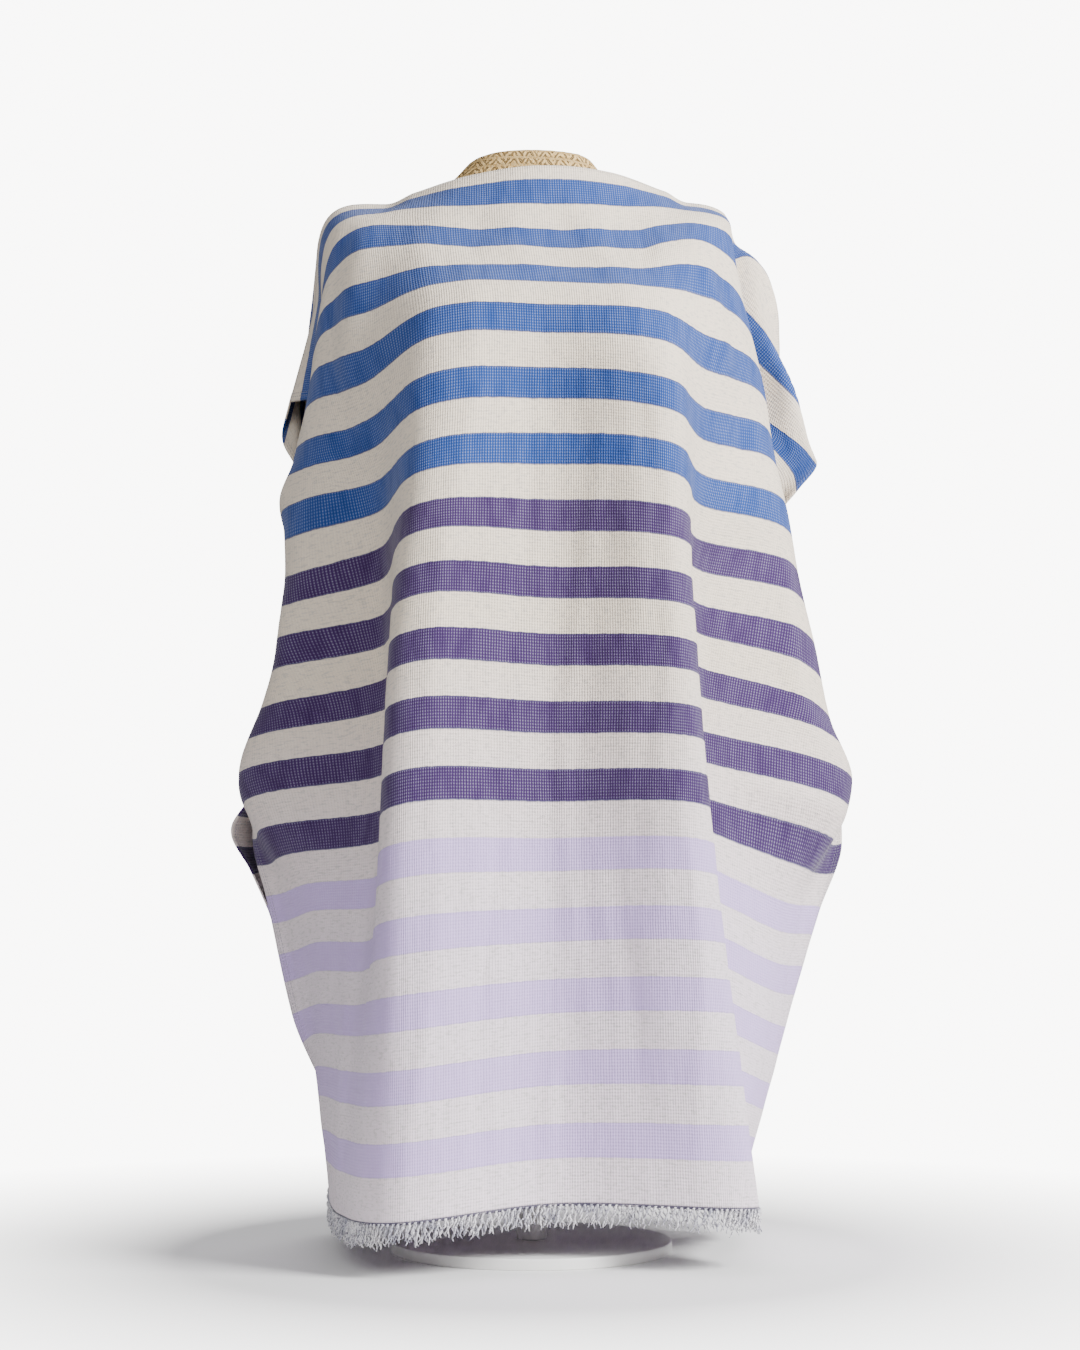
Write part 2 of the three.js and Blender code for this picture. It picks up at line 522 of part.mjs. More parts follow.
// A closed wall around the middle surface, from a grid of columns and rows.
function clothWall(surface, columns, rows, thickness, outward) {
  const points = rows.map((v) => columns.map((u) => surface(u, v)));
  const normalAt = (i, j) => {
    const left = points[j][Math.max(i - 1, 0)];
    const right = points[j][Math.min(i + 1, columns.length - 1)];
    const up = points[Math.max(j - 1, 0)][i];
    const down = points[Math.min(j + 1, rows.length - 1)][i];
    const across = right.clone().sub(left);
    return across.cross(down.clone().sub(up)).normalize().multiplyScalar(outward);
  };
  const position = [];
  const uv = [];
  [1, -1].forEach((side) => {
    rows.forEach((v, j) => columns.forEach((u, i) => {
      const offset = normalAt(i, j).multiplyScalar((side * thickness) / 2);
      position.push(...points[j][i].clone().add(offset).toArray());
      uv.push(u, v);
    }));
  });
  const index = [];
  const wide = columns.length;
  const deep = rows.length;
  const flip = outward < 0;
  const quad = (a, b, c, d) => {
    if (flip) index.push(a, c, b, a, d, c);
    else index.push(a, b, c, a, c, d);
  };
  const inner = wide * deep;
  for (let j = 0; j < deep - 1; j += 1) {
    for (let i = 0; i < wide - 1; i += 1) {
      const a = j * wide + i;
      quad(a, a + 1, a + 1 + wide, a + wide);
      quad(inner + a, inner + a + wide, inner + a + 1 + wide, inner + a + 1);
    }
  }
  const rim = [];
  for (let i = 0; i < wide; i += 1) rim.push(i);
  for (let j = 1; j < deep; j += 1) rim.push(j * wide + wide - 1);
  for (let i = wide - 2; i >= 0; i -= 1) rim.push((deep - 1) * wide + i);
  for (let j = deep - 2; j > 0; j -= 1) rim.push(j * wide);
  rim.forEach((a, k) => {
    const b = rim[(k + 1) % rim.length];
    quad(a, inner + a, inner + b, b);
  });
  const geometry = new THREE.BufferGeometry();
  geometry.setAttribute('position', new THREE.Float32BufferAttribute(position, 3));
  geometry.setAttribute('uv', new THREE.Float32BufferAttribute(uv, 2));
  geometry.setIndex(index);
  return geometry;
}

const range = (from, to, steps) =>
  Array.from({ length: steps + 1 }, (_, i) => from + ((to - from) * i) / steps);

// A closed strip along a hem, with a tapering strand below every second piece of it.
function fringe(surface, outward) {
  const steps = FRINGE_STRANDS * 2 + 1;
  const along = range(LEFT_EDGE, RIGHT_EDGE, steps);
  const hem = along.map((u) => surface(u, CLOTH_LENGTH));
  const frames = hem.map((point, i) => {
    const before = hem[Math.max(i - 1, 0)];
    const after = hem[Math.min(i + 1, steps)];
    const normal = new THREE.Vector3(after.y - before.y, before.x - after.x, 0).normalize();
    return { point, normal: normal.multiplyScalar((outward * CLOTH_THICKNESS) / 2) };
  });
  const position = [];
  const add = (vector) => position.push(vector.x, vector.y, vector.z) / 3 - 1;
  const level = (drop) => frames.map(({ point, normal }) => [1, -1].map((side) => {
    const corner = point.clone().addScaledVector(normal, side);
    corner.z -= drop;
    return add(corner);
  }));
  const top = level(FRINGE_GAP);
  const bottom = level(FRINGE_GAP + FRINGE_STRIP);
  const index = [];
  const quad = (a, b, c, d) => index.push(a, b, c, a, c, d);
  for (let i = 0; i < steps; i += 1) {
    quad(top[i][0], bottom[i][0], bottom[i + 1][0], top[i + 1][0]);
    quad(top[i + 1][1], bottom[i + 1][1], bottom[i][1], top[i][1]);
    quad(top[i][1], top[i][0], top[i + 1][0], top[i + 1][1]);
    const root = [bottom[i][0], bottom[i][1], bottom[i + 1][1], bottom[i + 1][0]];
    if (i % 2 === 0) {
      quad(...root);
    } else {
      strand(root, i);
    }
  }
  quad(top[0][0], top[0][1], bottom[0][1], bottom[0][0]);
  quad(top[steps][1], top[steps][0], bottom[steps][0], bottom[steps][1]);

  function strand(root, i) {
    const corners = root.map((k) => new THREE.Vector3(...position.slice(3 * k, 3 * k + 3)));
    const centre = corners[0].clone().add(corners[1]).add(corners[2]).add(corners[3]).divideScalar(4);
    const sway = Math.sin(i * 2.4) * STRAND_SWAY;
    const lean = Math.cos(i * 1.7) * STRAND_LEAN;
    const knee = corners.map((corner) => {
      const point = corner.clone().lerp(centre, STRAND_TAPER);
      return add(point.add(new THREE.Vector3(sway, lean, -FRINGE_LENGTH / 2)));
    });
    const tip = add(centre.clone().add(new THREE.Vector3(0, lean, -FRINGE_LENGTH)));
    root.forEach((a, k) => {
      const next = (k + 1) % 4;
      quad(a, root[next], knee[next], knee[k]);
      index.push(knee[k], knee[next], tip);
    });
  }

  if (outward < 0) index.reverse();
  const geometry = new THREE.BufferGeometry();
  geometry.setAttribute('position', new THREE.Float32BufferAttribute(position, 3));
  geometry.setIndex(index);
  return geometry;
}

// The form's closed skin: a ring of points for each section, capped below and above.
function formSkin() {
  const position = [];
  const index = [];
  const shape = (value) => Math.sign(value) * Math.abs(value) ** FORM_FULLNESS;
  FORM_SECTIONS.forEach(({ z, half, front, back, bust }) => {
    for (let i = 0; i < FORM_SIDES; i += 1) {
      const angle = (2 * Math.PI * i) / FORM_SIDES;
      const x = half * shape(Math.cos(angle));
      const depth = Math.sin(angle) < 0 ? front : back;
      const off = (Math.abs(x) - BUST_SPACING / 2) / BUST_WIDTH;
      const swell = Math.sin(angle) < 0 ? bust * Math.exp(-off * off) * -Math.sin(angle) : 0;
      position.push(x, depth * shape(Math.sin(angle)) - swell, z);
    }
  });
  const last = FORM_SECTIONS.length - 1;
  for (let j = 0; j < last; j += 1) {
    for (let i = 0; i < FORM_SIDES; i += 1) {
      const next = (i + 1) % FORM_SIDES;
      const a = j * FORM_SIDES;
      const b = a + FORM_SIDES;
      index.push(a + i, a + next, b + next, a + i, b + next, b + i);
    }
  }
  for (let i = 1; i < FORM_SIDES - 1; i += 1) {
    index.push(0, i + 1, i);
    const top = last * FORM_SIDES;
    index.push(top, top + i, top + i + 1);
  }
  const geometry = new THREE.BufferGeometry();
  geometry.setAttribute('position', new THREE.Float32BufferAttribute(position, 3));
  geometry.setIndex(index);
  return geometry;
}

const towel = new THREE.MeshStandardMaterial({ color: 0xe9e4de, roughness: 0.9, metalness: 0 });
const straw = new THREE.MeshStandardMaterial({ color: 0xc9a468, roughness: 0.85, metalness: 0 });
const paint = new THREE.MeshStandardMaterial({ color: 0xf2f1ee, roughness: 0.45, metalness: 0 });

const poncho = new THREE.Group();

function addPart(name, geometry, material) {
  const mesh = new THREE.Mesh(geometry, material);
  mesh.name = name;
  poncho.add(mesh);
  return mesh;
}

const frontHalf = clothSurface(FRONT_LINES);
const backHalf = clothSurface(BACK_LINES);
const frontJoined = joinShoulders(frontHalf, backHalf);
const backJoined = joinShoulders(backHalf, frontHalf);
const frontSurface = joinSides(frontJoined, backJoined);
const backSurface = joinSides(backJoined, frontJoined);
const rows = range(0, CLOTH_LENGTH, CLOTH_ROWS);
const frontColumns = range(LEFT_EDGE, RIGHT_EDGE, FRONT_COLUMNS);
const backColumns = range(LEFT_EDGE, RIGHT_EDGE, BACK_COLUMNS);
addPart('front_panel', clothWall(frontSurface, frontColumns, rows, CLOTH_THICKNESS, -1), towel);
addPart('back_panel', clothWall(backSurface, backColumns, rows, CLOTH_THICKNESS, 1), towel);
addPart('fringe_front', fringe(frontSurface, 1), towel);
addPart('fringe_back', fringe(backSurface, -1), towel);

addPart('form_body', formSkin(), straw);
const poleLength = FORM_SECTIONS[0].z - BASE_THICKNESS - 2 * SEAM_GAP;
const poleShape = new THREE.CylinderGeometry(POLE_RADIUS, POLE_RADIUS, poleLength, POLE_SIDES);
const pole = addPart('stand_pole', poleShape, paint);
pole.rotation.x = Math.PI / 2;
pole.position.z = BASE_THICKNESS + SEAM_GAP + poleLength / 2;
const baseShape = new THREE.CylinderGeometry(BASE_RADIUS, BASE_RADIUS, BASE_THICKNESS, BASE_SIDES);
const base = addPart('stand_base', baseShape, paint);
base.rotation.x = Math.PI / 2;
base.position.z = BASE_THICKNESS / 2;

export default poncho;
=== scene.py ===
"""Towel poncho on a limbless dress form: cloth, fringes, form and stand, dressed over the CAD frame."""

import json
import math

import bpy
import numpy as np
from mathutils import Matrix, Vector, noise

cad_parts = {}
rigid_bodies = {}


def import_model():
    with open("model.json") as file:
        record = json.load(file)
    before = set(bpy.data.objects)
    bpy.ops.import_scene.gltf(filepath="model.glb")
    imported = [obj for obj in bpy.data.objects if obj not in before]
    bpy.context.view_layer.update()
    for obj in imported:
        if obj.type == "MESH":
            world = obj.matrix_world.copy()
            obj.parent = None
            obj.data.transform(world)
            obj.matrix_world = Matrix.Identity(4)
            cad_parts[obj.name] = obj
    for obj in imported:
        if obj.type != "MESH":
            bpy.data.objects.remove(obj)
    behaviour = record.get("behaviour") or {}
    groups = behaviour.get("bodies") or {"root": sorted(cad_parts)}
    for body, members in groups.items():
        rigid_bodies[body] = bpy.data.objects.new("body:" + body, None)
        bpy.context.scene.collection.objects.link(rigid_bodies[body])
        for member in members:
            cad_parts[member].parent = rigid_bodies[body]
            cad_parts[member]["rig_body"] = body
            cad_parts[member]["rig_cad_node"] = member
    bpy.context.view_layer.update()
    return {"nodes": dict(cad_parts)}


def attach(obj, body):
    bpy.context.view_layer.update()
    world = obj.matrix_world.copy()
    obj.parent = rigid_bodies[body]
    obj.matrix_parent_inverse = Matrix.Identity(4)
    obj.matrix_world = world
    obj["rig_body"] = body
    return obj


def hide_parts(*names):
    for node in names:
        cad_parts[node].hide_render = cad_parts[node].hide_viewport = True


bl_info = {
    "name": "Towel Poncho",
    "version": (1, 0, 0),
    "blender": (4, 5, 0),
    "location": "View3D > Sidebar > Poncho",
    "description": "A striped towel poncho with fringed hems, worn by a dress form on a stand",
    "category": "Object",
}

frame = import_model()

# ---- the towel, in millimetres: u across from the form's middle, v down from the shoulder ----
LEFT_EDGE, RIGHT_EDGE = -410.0, 450.0
CLOTH_LENGTH = 1000.0
HEM_HEIGHT = 62.0
SLIT_CENTRE, SLIT_HALF, SLIT_EASE = 5.0, 157.0, 30.0
SLEEVE_LENGTH, SIDE_SEAM_END = 205.0, 565.0
SHOULDER_EASE, SIDE_EASE = 60.0, 40.0
FOLD_SOFTNESS = 8.0
# The halves meet closer at the seams than the CAD walls do, so that the seams look sewn shut.
SEAM_GAP, SEAM_ROOM, SHARPEST_SEAM = 0.05, 1.0, 0.95

# Fold lines: v, u, x, y, and z above the front hem's middle.
FRONT_LINES = {
    "left_edge": (
        (0, -410, -234, 34, 745),
        (38, -410, -212, 4, 738),
        (90, -410, -194, 14, 708),
        (150, -410, -190, 22, 658),
        (205, -410, -206, 24, 626),
        (260, -410, -190, 26, 596),
        (321, -410, -178, 27, 552),
        (382, -410, -188, 27, 500),
        (443, -410, -206, 27, 450),
        (504, -410, -230, 27, 402),
        (565, -410, -262, 28, 365),
        (626, -410, -262, 30, 318),
        (690, -410, -248, 45, 262),
        (810, -410, -222, 62, 152),
        (930, -410, -180, 70, 40),
        (1000, -410, -180, 76, -22),
    ),
    "left_cuff": (
        (0, -310, -212, 38, 838),
        (38, -315, -206, 4, 828),
        (90, -325, -204, 8, 780),
        (150, -335, -208, 14, 748),
        (205, -336, -218, 16, 720),
        (275, -334, -230, 12, 672),
        (305, -330, -243, 10, 637.1),
        (340, -328, -236.1, 6, 604.4),
        (390, -334, -226.1, 8.1, 554.3),
        (443, -348, -232.1, 8, 498.3),
        (565, -396, -272.9, 14, 371.4),
        (690, -385, -234, 30, 264),
        (850, -385, -202, 48, 122),
        (1000, -386, -182, 54, -22),
    ),
    "left_side": (
        (0, -213, -197, 30, 936),
        (77, -217, -194, -15, 888),
        (138, -238, -205, -20, 822),
        (199, -262, -212, -16, 762),
        (260, -286, -221.2, -27, 690.1),
        (321, -294, -228.3, -32, 630.3),
        (382, -300, -233.3, -38, 559),
        (443, -316, -241.2, -33, 500.9),
        (504, -350, -254, -28, 436.8),
        (565, -378, -275.7, -10, 378.1),
        (620, -380, -261.9, 0, 329.2),
        (690, -340, -212, -10, 272),
        (850, -334, -194, -4, 126),
        (1000, -336, -186, 4, -18),
    ),
    "left_valley": (
        (0, -135, -128, 6, 948),
        (77, -152, -152, -36, 902),
        (138, -164, -158, -66, 838),
        (199, -178, -166, -78, 768),
        (260, -196, -162, -84, 700),
        (321, -214, -156, -84, 641),
        (443, -234, -148, -80, 518),
        (565, -248, -145, -80, 400),
        (690, -256, -151, -84, 276),
        (850, -262, -172, -82, 126),
        (1000, -262, -180, -78, -20),
    ),
    "left_ridge": (
        (0, -72, -70, -32, 957),
        (77, -92, -92, -62, 894),
        (138, -104, -103, -98, 844),
        (199, -112.5, -108.8, -130, 793.6),
        (260, -117.8, -113.4, -144, 727.7),
        (321, -122.4, -117.2, -148.7, 664.1),
        (443, -135, -129.8, -155, 548.8),
        (565, -146.7, -140.6, -155.8, 428),
        (690, -153.1, -144.6, -157.3, 299.8),
        (850, -150.7, -142.7, -162.7, 130.9),
        (1000, -148.2, -142.1, -167, -17),
    ),
    "centre": (
        (0, 0, 0, -48, 966),
        (77, 0, 0, -72, 894),
        (138, 0, 0.7, -103, 846.7),
        (199, 0, 1.7, -133, 800.8),
        (260, 0, 2.2, -136, 740.6),
        (443, 0, 2.5, -134, 556.4),
        (690, 0, 2.9, -129, 309.1),
        (1000, 0, 2.8, -130, -7.4),
    ),
    "right_ridge": (
        (0, 72, 72, -32, 969),
        (77, 86, 86, -62, 900),
        (138, 97, 95, -100, 850),
        (199, 108.6, 102.4, -134.4, 798.3),
        (260, 115.3, 106.2, -153.2, 729.2),
        (321, 118.8, 109, -154.3, 669.4),
        (443, 128.7, 117, -154.4, 549.5),
        (565, 137.7, 126.9, -154.5, 429.6),
        (690, 151.2, 136.7, -154.6, 306.8),
        (850, 173, 157, -154.8, 146.2),
        (1000, 192, 177, -153, -11),
    ),
    "right_valley": (
        (0, 130, 132, 4, 966),
        (77, 148, 144, -42, 916),
        (138, 158, 146, -74, 864),
        (199, 172, 153, -88, 792),
        (260, 188, 147, -94, 721),
        (321, 198, 146, -92, 657),
        (443, 224, 143, -74, 538),
        (565, 238, 143, -72, 420),
        (690, 252, 150, -70, 292),
        (850, 268, 154, -72, 138),
        (1000, 284, 168, -76, -14),
    ),
    "right_side": (
        (0, 207, 206, 34, 952),
        (77, 212, 197, -15, 914),
        (138, 248, 210, -15, 845),
        (199, 282, 227, -5, 781),
        (260, 309, 237, -5, 716),
        (321, 332, 252, -5, 643),
        (382, 352, 264, 0, 576),
        (443, 374, 280, 0, 506),
        (504, 398, 295, 5, 432),
        (565, 424, 318, 10, 378),
        (600, 420, 312, 10, 346),
        (690, 364, 246, 0, 256),
        (850, 344, 216, -10, 112),
        (1000, 350, 192, -8, -18),
    ),
    "right_tuck": (
        (0, 216, 206, 44, 932),
        (77, 262, 205, 22, 874),
        (106, 300, 211, 25, 828),
        (138, 340, 220, 20, 762),
        (205, 370, 226, 8, 712),
        (260, 384, 230, 6, 662),
        (321, 396, 228, 14, 604),
        (382, 404, 240, 16, 542),
        (443, 414, 262, 20, 480),
        (504, 426, 282, 20, 415),
        (565, 437, 316, 20, 372),
        (690, 410, 268, 22, 254),
        (850, 395, 238, 32, 104),
        (1000, 400, 204, 36, -22),
    ),
    "right_cuff": (
        (0, 230, 209, 50, 920),
        (45, 256, 220, 25, 911),
        (77, 330, 243, 20, 823),
        (106, 392, 268, 10, 753),
        (138, 425, 276, 8, 706),
        (205, 425, 238, 14, 655),
        (260, 425, 220, 22, 620),
        (321, 425, 204, 22, 574),
        (443, 434, 248, 25, 462),
        (565, 445, 313, 24, 370),
        (690, 432, 286, 36, 254),
        (850, 425, 247, 56, 102),
        (1000, 426, 210, 60, -22),
    ),
    "right_edge": (
        (0, 450, 252, 112, 742),
        (60, 450, 268, 60, 722),
        (106, 450, 284, 22, 706),
        (138, 450, 286, 6, 691),
        (167, 450, 265, 4, 664),
        (205, 450, 243, 20, 632),
        (260, 450, 208, 30, 595),
        (321, 450, 180, 30, 550),
        (382, 450, 200, 30, 500),
        (443, 450, 235, 30, 450),
        (504, 450, 266, 30, 396),
        (565, 450, 308, 30, 362),
        (626, 450, 311, 30, 318),
        (690, 450, 292, 50, 252),
        (810, 450, 259, 66, 140),
        (930, 450, 226, 76, 36),
        (1000, 450, 212, 82, -22),
    ),
}
BACK_LINES = {
    "left_edge": (
        (0, -410, -234, 34, 745),
        (36, -410, -241, 48, 712),
        (70, -410, -228, 44, 684),
        (130, -410, -206, 62, 642),
        (205, -410, -206, 24, 626),
        (260, -410, -190, 26, 596),
        (321, -410, -178, 27, 552),
        (382, -410, -188, 27, 500),
        (443, -410, -206, 27, 450),
        (504, -410, -230, 27, 402),
        (565, -410, -262, 28, 364),
        (610, -410, -283, 44, 326),
        (650, -410, -264, 60, 290),
        (740, -410, -228, 74, 208),
        (850, -410, -194, 84, 104),
        (1000, -410, -176, 90, -24),
    ),
    "left_cuff": (
        (0, -310, -212, 38, 838),
        (60, -315, -220, 66, 786),
        (130, -330, -220, 78, 722),
        (205, -350, -222, 60, 672),
        (321, -358, -212, 46, 586),
        (443, -382, -226, 46, 470),
        (565, -390, -268, 52, 366),
        (610, -384, -268, 66, 326),
        (690, -374, -246, 98, 258),
        (850, -376, -196, 112, 108),
        (1000, -376, -180, 120, -22),
    ),
    "left_side": (
        (0, -213, -197, 30, 936),
        (77, -240, -206, 78, 852),
        (150, -262, -216, 84, 785),
        (260, -282, -222, 76, 690),
        (382, -316, -234, 70, 562),
        (504, -348, -252, 70, 436),
        (600, -344, -258, 92, 342),
        (690, -326, -235, 136, 258),
        (850, -320, -191, 156, 110),
        (1000, -318, -174, 162, -20),
    ),
    "left_valley": (
        (0, -140, -132, 32, 944),
        (77, -150, -142, 92, 892),
        (150, -166, -150, 112, 816),
        (260, -196, -160, 104, 712),
        (382, -226, -160, 90, 588),
        (504, -244, -158, 82, 466),
        (690, -240, -150, 84, 282),
        (850, -238, -146, 88, 124),
        (1000, -240, -140, 94, -18),
    ),
    "left_ridge": (
        (0, -72, -70, 66, 958),
        (77, -84, -82, 104, 892),
        (150, -98, -96, 130, 824),
        (260, -120, -112, 150, 717),
        (382, -136, -124, 164, 596),
        (504, -146, -132, 172, 474),
        (690, -146, -132, 178, 290),
        (850, -144, -130, 184, 132),
        (1000, -142, -128, 188, -14),
    ),
    "centre": (
        (0, 0, 0, 82, 960),
        (77, 0, 0, 108, 888),
        (150, 0, 0, 120, 817),
        (260, 0, 0, 126, 708),
        (443, 0, 0, 130, 526),
        (690, 0, 0, 132, 280),
        (1000, 0, 0, 134, -24),
    ),
    "right_ridge": (
        (0, 72, 70, 66, 962),
        (77, 84, 82, 104, 894),
        (150, 98, 96, 128, 826),
        (260, 118, 112, 148, 718),
        (382, 134, 124, 162, 598),
        (504, 146, 134, 170, 476),
        (690, 150, 136, 176, 291),
        (850, 152, 138, 182, 132),
        (1000, 154, 140, 188, -14),
    ),
    "right_valley": (
        (0, 140, 138, 34, 958),
        (77, 150, 144, 92, 898),
        (150, 168, 154, 110, 822),
        (260, 196, 164, 100, 714),
        (382, 226, 162, 86, 590),
        (504, 246, 164, 80, 468),
        (690, 250, 160, 82, 284),
        (850, 250, 158, 86, 124),
        (1000, 252, 156, 94, -18),
    ),
    "right_side": (
        (0, 207, 206, 34, 952),
        (77, 246, 208, 84, 872),
        (150, 280, 226, 98, 800),
        (260, 312, 240, 86, 700),
        (382, 352, 264, 76, 572),
        (504, 392, 292, 70, 440),
        (600, 388, 310, 88, 346),
        (690, 356, 280, 132, 262),
        (850, 346, 240, 154, 112),
        (1000, 342, 200, 164, -20),
    ),
    "right_cuff": (
        (0, 330, 224, 74, 838),
        (60, 340, 226, 104, 790),
        (130, 360, 226, 98, 724),
        (205, 384, 234, 70, 676),
        (321, 404, 224, 54, 586),
        (443, 420, 256, 50, 466),
        (565, 432, 302, 54, 366),
        (690, 408, 286, 98, 252),
        (850, 404, 250, 116, 102),
        (1000, 404, 208, 124, -22),
    ),
    "right_edge": (
        (0, 450, 252, 112, 742),
        (60, 450, 234, 104, 686),
        (120, 450, 222, 76, 652),
        (165, 450, 230, 50, 642),
        (205, 450, 243, 20, 632),
        (260, 450, 208, 30, 595),
        (321, 450, 180, 30, 550),
        (382, 450, 200, 30, 500),
        (443, 450, 235, 30, 450),
        (504, 450, 266, 30, 396),
        (565, 450, 308, 30, 362),
        (626, 450, 308, 42, 314),
        (690, 450, 288, 70, 250),
        (810, 450, 258, 84, 136),
        (1000, 450, 210, 94, -22),
    ),
}


# ---- creases: u and v of both ends, half width and height of the ridge (a groove is negative) ----
FRONT_CREASES = (
    (-96, 40, -118, 150, 17, 2.0),
    (-60, 52, -70, 128, 12, -1.3),
    (-26, 44, -18, 165, 18, 1.7),
    (20, 50, 27, 112, 11, -1.2),
    (50, 40, 61, 158, 16, 1.9),
    (90, 46, 101, 132, 11, -1.1),
    (-150, 60, -232, 240, 22, 4.0),
    (-200, 90, -250, 320, 14, -3.0),
    (150, 70, 240, 260, 20, 4.0),
    (196, 120, 262, 330, 13, -3.0),
    (-84, 190, -96, 620, 12, 1.6),
    (-34, 260, -40, 720, 9, -1.2),
    (30, 300, 26, 860, 10, 1.4),
    (78, 220, 92, 700, 11, -1.4),
    (-110, 620, -120, 985, 9, 1.3),
    (-58, 690, -62, 990, 8, -1.2),
    (4, 740, 2, 992, 8, 1.1),
    (64, 660, 70, 990, 9, -1.2),
    (122, 640, 136, 985, 9, 1.3),
    (-300, 330, -340, 560, 11, 2.4),
    (-276, 620, -290, 960, 12, 2.2),
    (-226, 380, -236, 900, 10, -1.8),
    (300, 360, 372, 560, 12, 2.6),
    (300, 640, 318, 960, 12, 2.2),
    (236, 420, 262, 930, 10, -1.8),
    (388, 640, 396, 950, 10, 1.8),
    (-372, 640, -380, 960, 10, 1.8),
    (330, 60, 420, 150, 14, 3.2),
    (290, 90, 380, 190, 12, -2.6),
    (-330, 60, -380, 170, 13, 2.8),
    (-90, 255, 20, 300, 20, -1.4),
    (10, 330, 120, 290, 18, -1.2),
    (-120, 420, -20, 440, 14, 1.0),
    (30, 470, 130, 430, 15, 1.0),
)
BACK_CREASES = (
    (-96, 30, -112, 170, 16, 3.0),
    (-46, 40, -50, 150, 14, -2.6),
    (6, 34, 4, 190, 16, 2.6),
    (58, 40, 64, 150, 14, -2.4),
    (104, 30, 118, 170, 15, 2.8),
    (-150, 60, -240, 260, 22, 4.0),
    (-204, 110, -262, 340, 14, -3.0),
    (156, 60, 250, 260, 22, 4.0),
    (206, 110, 276, 350, 14, -3.0),
    (-70, 220, -76, 760, 12, 1.8),
    (-14, 300, -10, 900, 10, -1.4),
    (46, 250, 52, 820, 11, 1.6),
    (-112, 560, -118, 985, 10, 1.6),
    (104, 520, 112, 985, 10, 1.6),
    (10, 700, 14, 990, 8, 1.2),
    (-300, 360, -340, 600, 12, 2.6),
    (310, 360, 376, 600, 12, 2.6),
    (-290, 640, -300, 970, 12, 2.2),
    (306, 640, 316, 970, 12, 2.2),
    (-222, 420, -230, 940, 10, -1.8),
    (226, 420, 236, 940, 10, -1.8),
    (-376, 640, -384, 960, 10, 1.8),
    (392, 640, 400, 960, 10, 1.8),
    (330, 60, 400, 170, 14, 3.2),
    (-330, 60, -370, 170, 14, 3.0),
)


# ---- the drape ----
def line_through(rows, v):
    """One fold line's u, x, y and z at every v, by a cubic that never overshoots its rows."""
    table = np.array(rows, float)
    at, values = table[:, 0], table[:, 1:]
    step = np.diff(at)[:, None]
    rise = np.diff(values, axis=0) / step
    slope = np.zeros_like(values)
    slope[0], slope[-1] = rise[0], rise[-1]
    before, after = rise[:-1], rise[1:]
    same = before * after > 0
    weight_before, weight_after = 2 * step[1:] + step[:-1], step[1:] + 2 * step[:-1]
    safe_before, safe_after = np.where(same, before, 1), np.where(same, after, 1)
    mean = (weight_before + weight_after) / (weight_before / safe_before + weight_after / safe_after)
    slope[1:-1] = np.where(same, mean, 0)
    i = np.clip(np.searchsorted(at, v, side="right") - 1, 0, len(at) - 2)
    span = at[i + 1] - at[i]
    s = ((np.clip(v, at[0], at[-1]) - at[i]) / span)[:, None]
    span = span[:, None]
    return (
        (2 * s**3 - 3 * s**2 + 1) * values[i]
        + (s**3 - 2 * s**2 + s) * span * slope[i]
        + (3 * s**2 - 2 * s**3) * values[i + 1]
        + (s**3 - s**2) * span * slope[i + 1]
    )


def unit(vectors):
    return vectors / np.maximum(np.linalg.norm(vectors, axis=-1, keepdims=True), 1e-9)


def drape(lines, u, v):
    """Points of one half's middle surface, a row for each v and a column for each u."""
    knots = np.stack([line_through(rows, v) for rows in lines.values()], axis=1)
    at, points = knots[..., 0], knots[..., 1:]
    chords = np.diff(points, axis=1) / np.diff(at, axis=1)[..., None]
    length = np.linalg.norm(chords, axis=-1)
    tangents = np.concatenate([chords[:, :1], chords[:, :1], chords[:, 1:]], axis=1)
    pace = np.minimum(length[:, :-1], length[:, 1:])[..., None]
    tangents[:, 1:-1] = unit(unit(chords[:, :-1]) + unit(chords[:, 1:])) * pace
    tangents[:, -1] = chords[:, -1]
    tangents[:, 0] = chords[:, 0]

    def at_u(where):
        where = np.clip(where, LEFT_EDGE, RIGHT_EDGE)
        i = (where[None, :, None] > at[:, None, 1:-1]).sum(axis=2)
        rows = np.arange(len(v))[:, None]
        span = (at[rows, i + 1] - at[rows, i])[..., None]
        s = (where[None, :, None] - at[rows, i][..., None]) / span
        return (
            (2 * s**3 - 3 * s**2 + 1) * points[rows, i]
            + (s**3 - 2 * s**2 + s) * span * tangents[rows, i]
            + (3 * s**2 - 2 * s**3) * points[rows, i + 1]
            + (s**3 - s**2) * span * tangents[rows, i + 1]
        )

    soft = np.minimum(FOLD_SOFTNESS, np.minimum(u - LEFT_EDGE, RIGHT_EDGE - u))
    surface = (at_u(u - soft) + at_u(u + soft) + 2 * at_u(u)) / 4
    surface[..., 2] += HEM_HEIGHT
    return surface


def smooth_step(start, end, value):
    t = np.clip((value - start) / (end - start), 0, 1)
    return t * t * (3 - 2 * t)


def seam_end(own, other, own_inside, other_inside, own_next, other_next):
    """Where a half ends at a seam: both leave it inwards, and each stops a little short of it."""
    seam = (own + other) / 2
    along = unit((own_next + other_next) / 2 - seam)

    def leaving(inside):
        way = inside - seam
        return unit(way - (way * along).sum(-1, keepdims=True) * along)

    way = leaving(own_inside)
    cosine = np.minimum((way * leaving(other_inside)).sum(-1, keepdims=True), SHARPEST_SEAM)
    return seam + way * (SEAM_GAP + SEAM_ROOM * np.sqrt((1 + cosine) / (1 - cosine)))


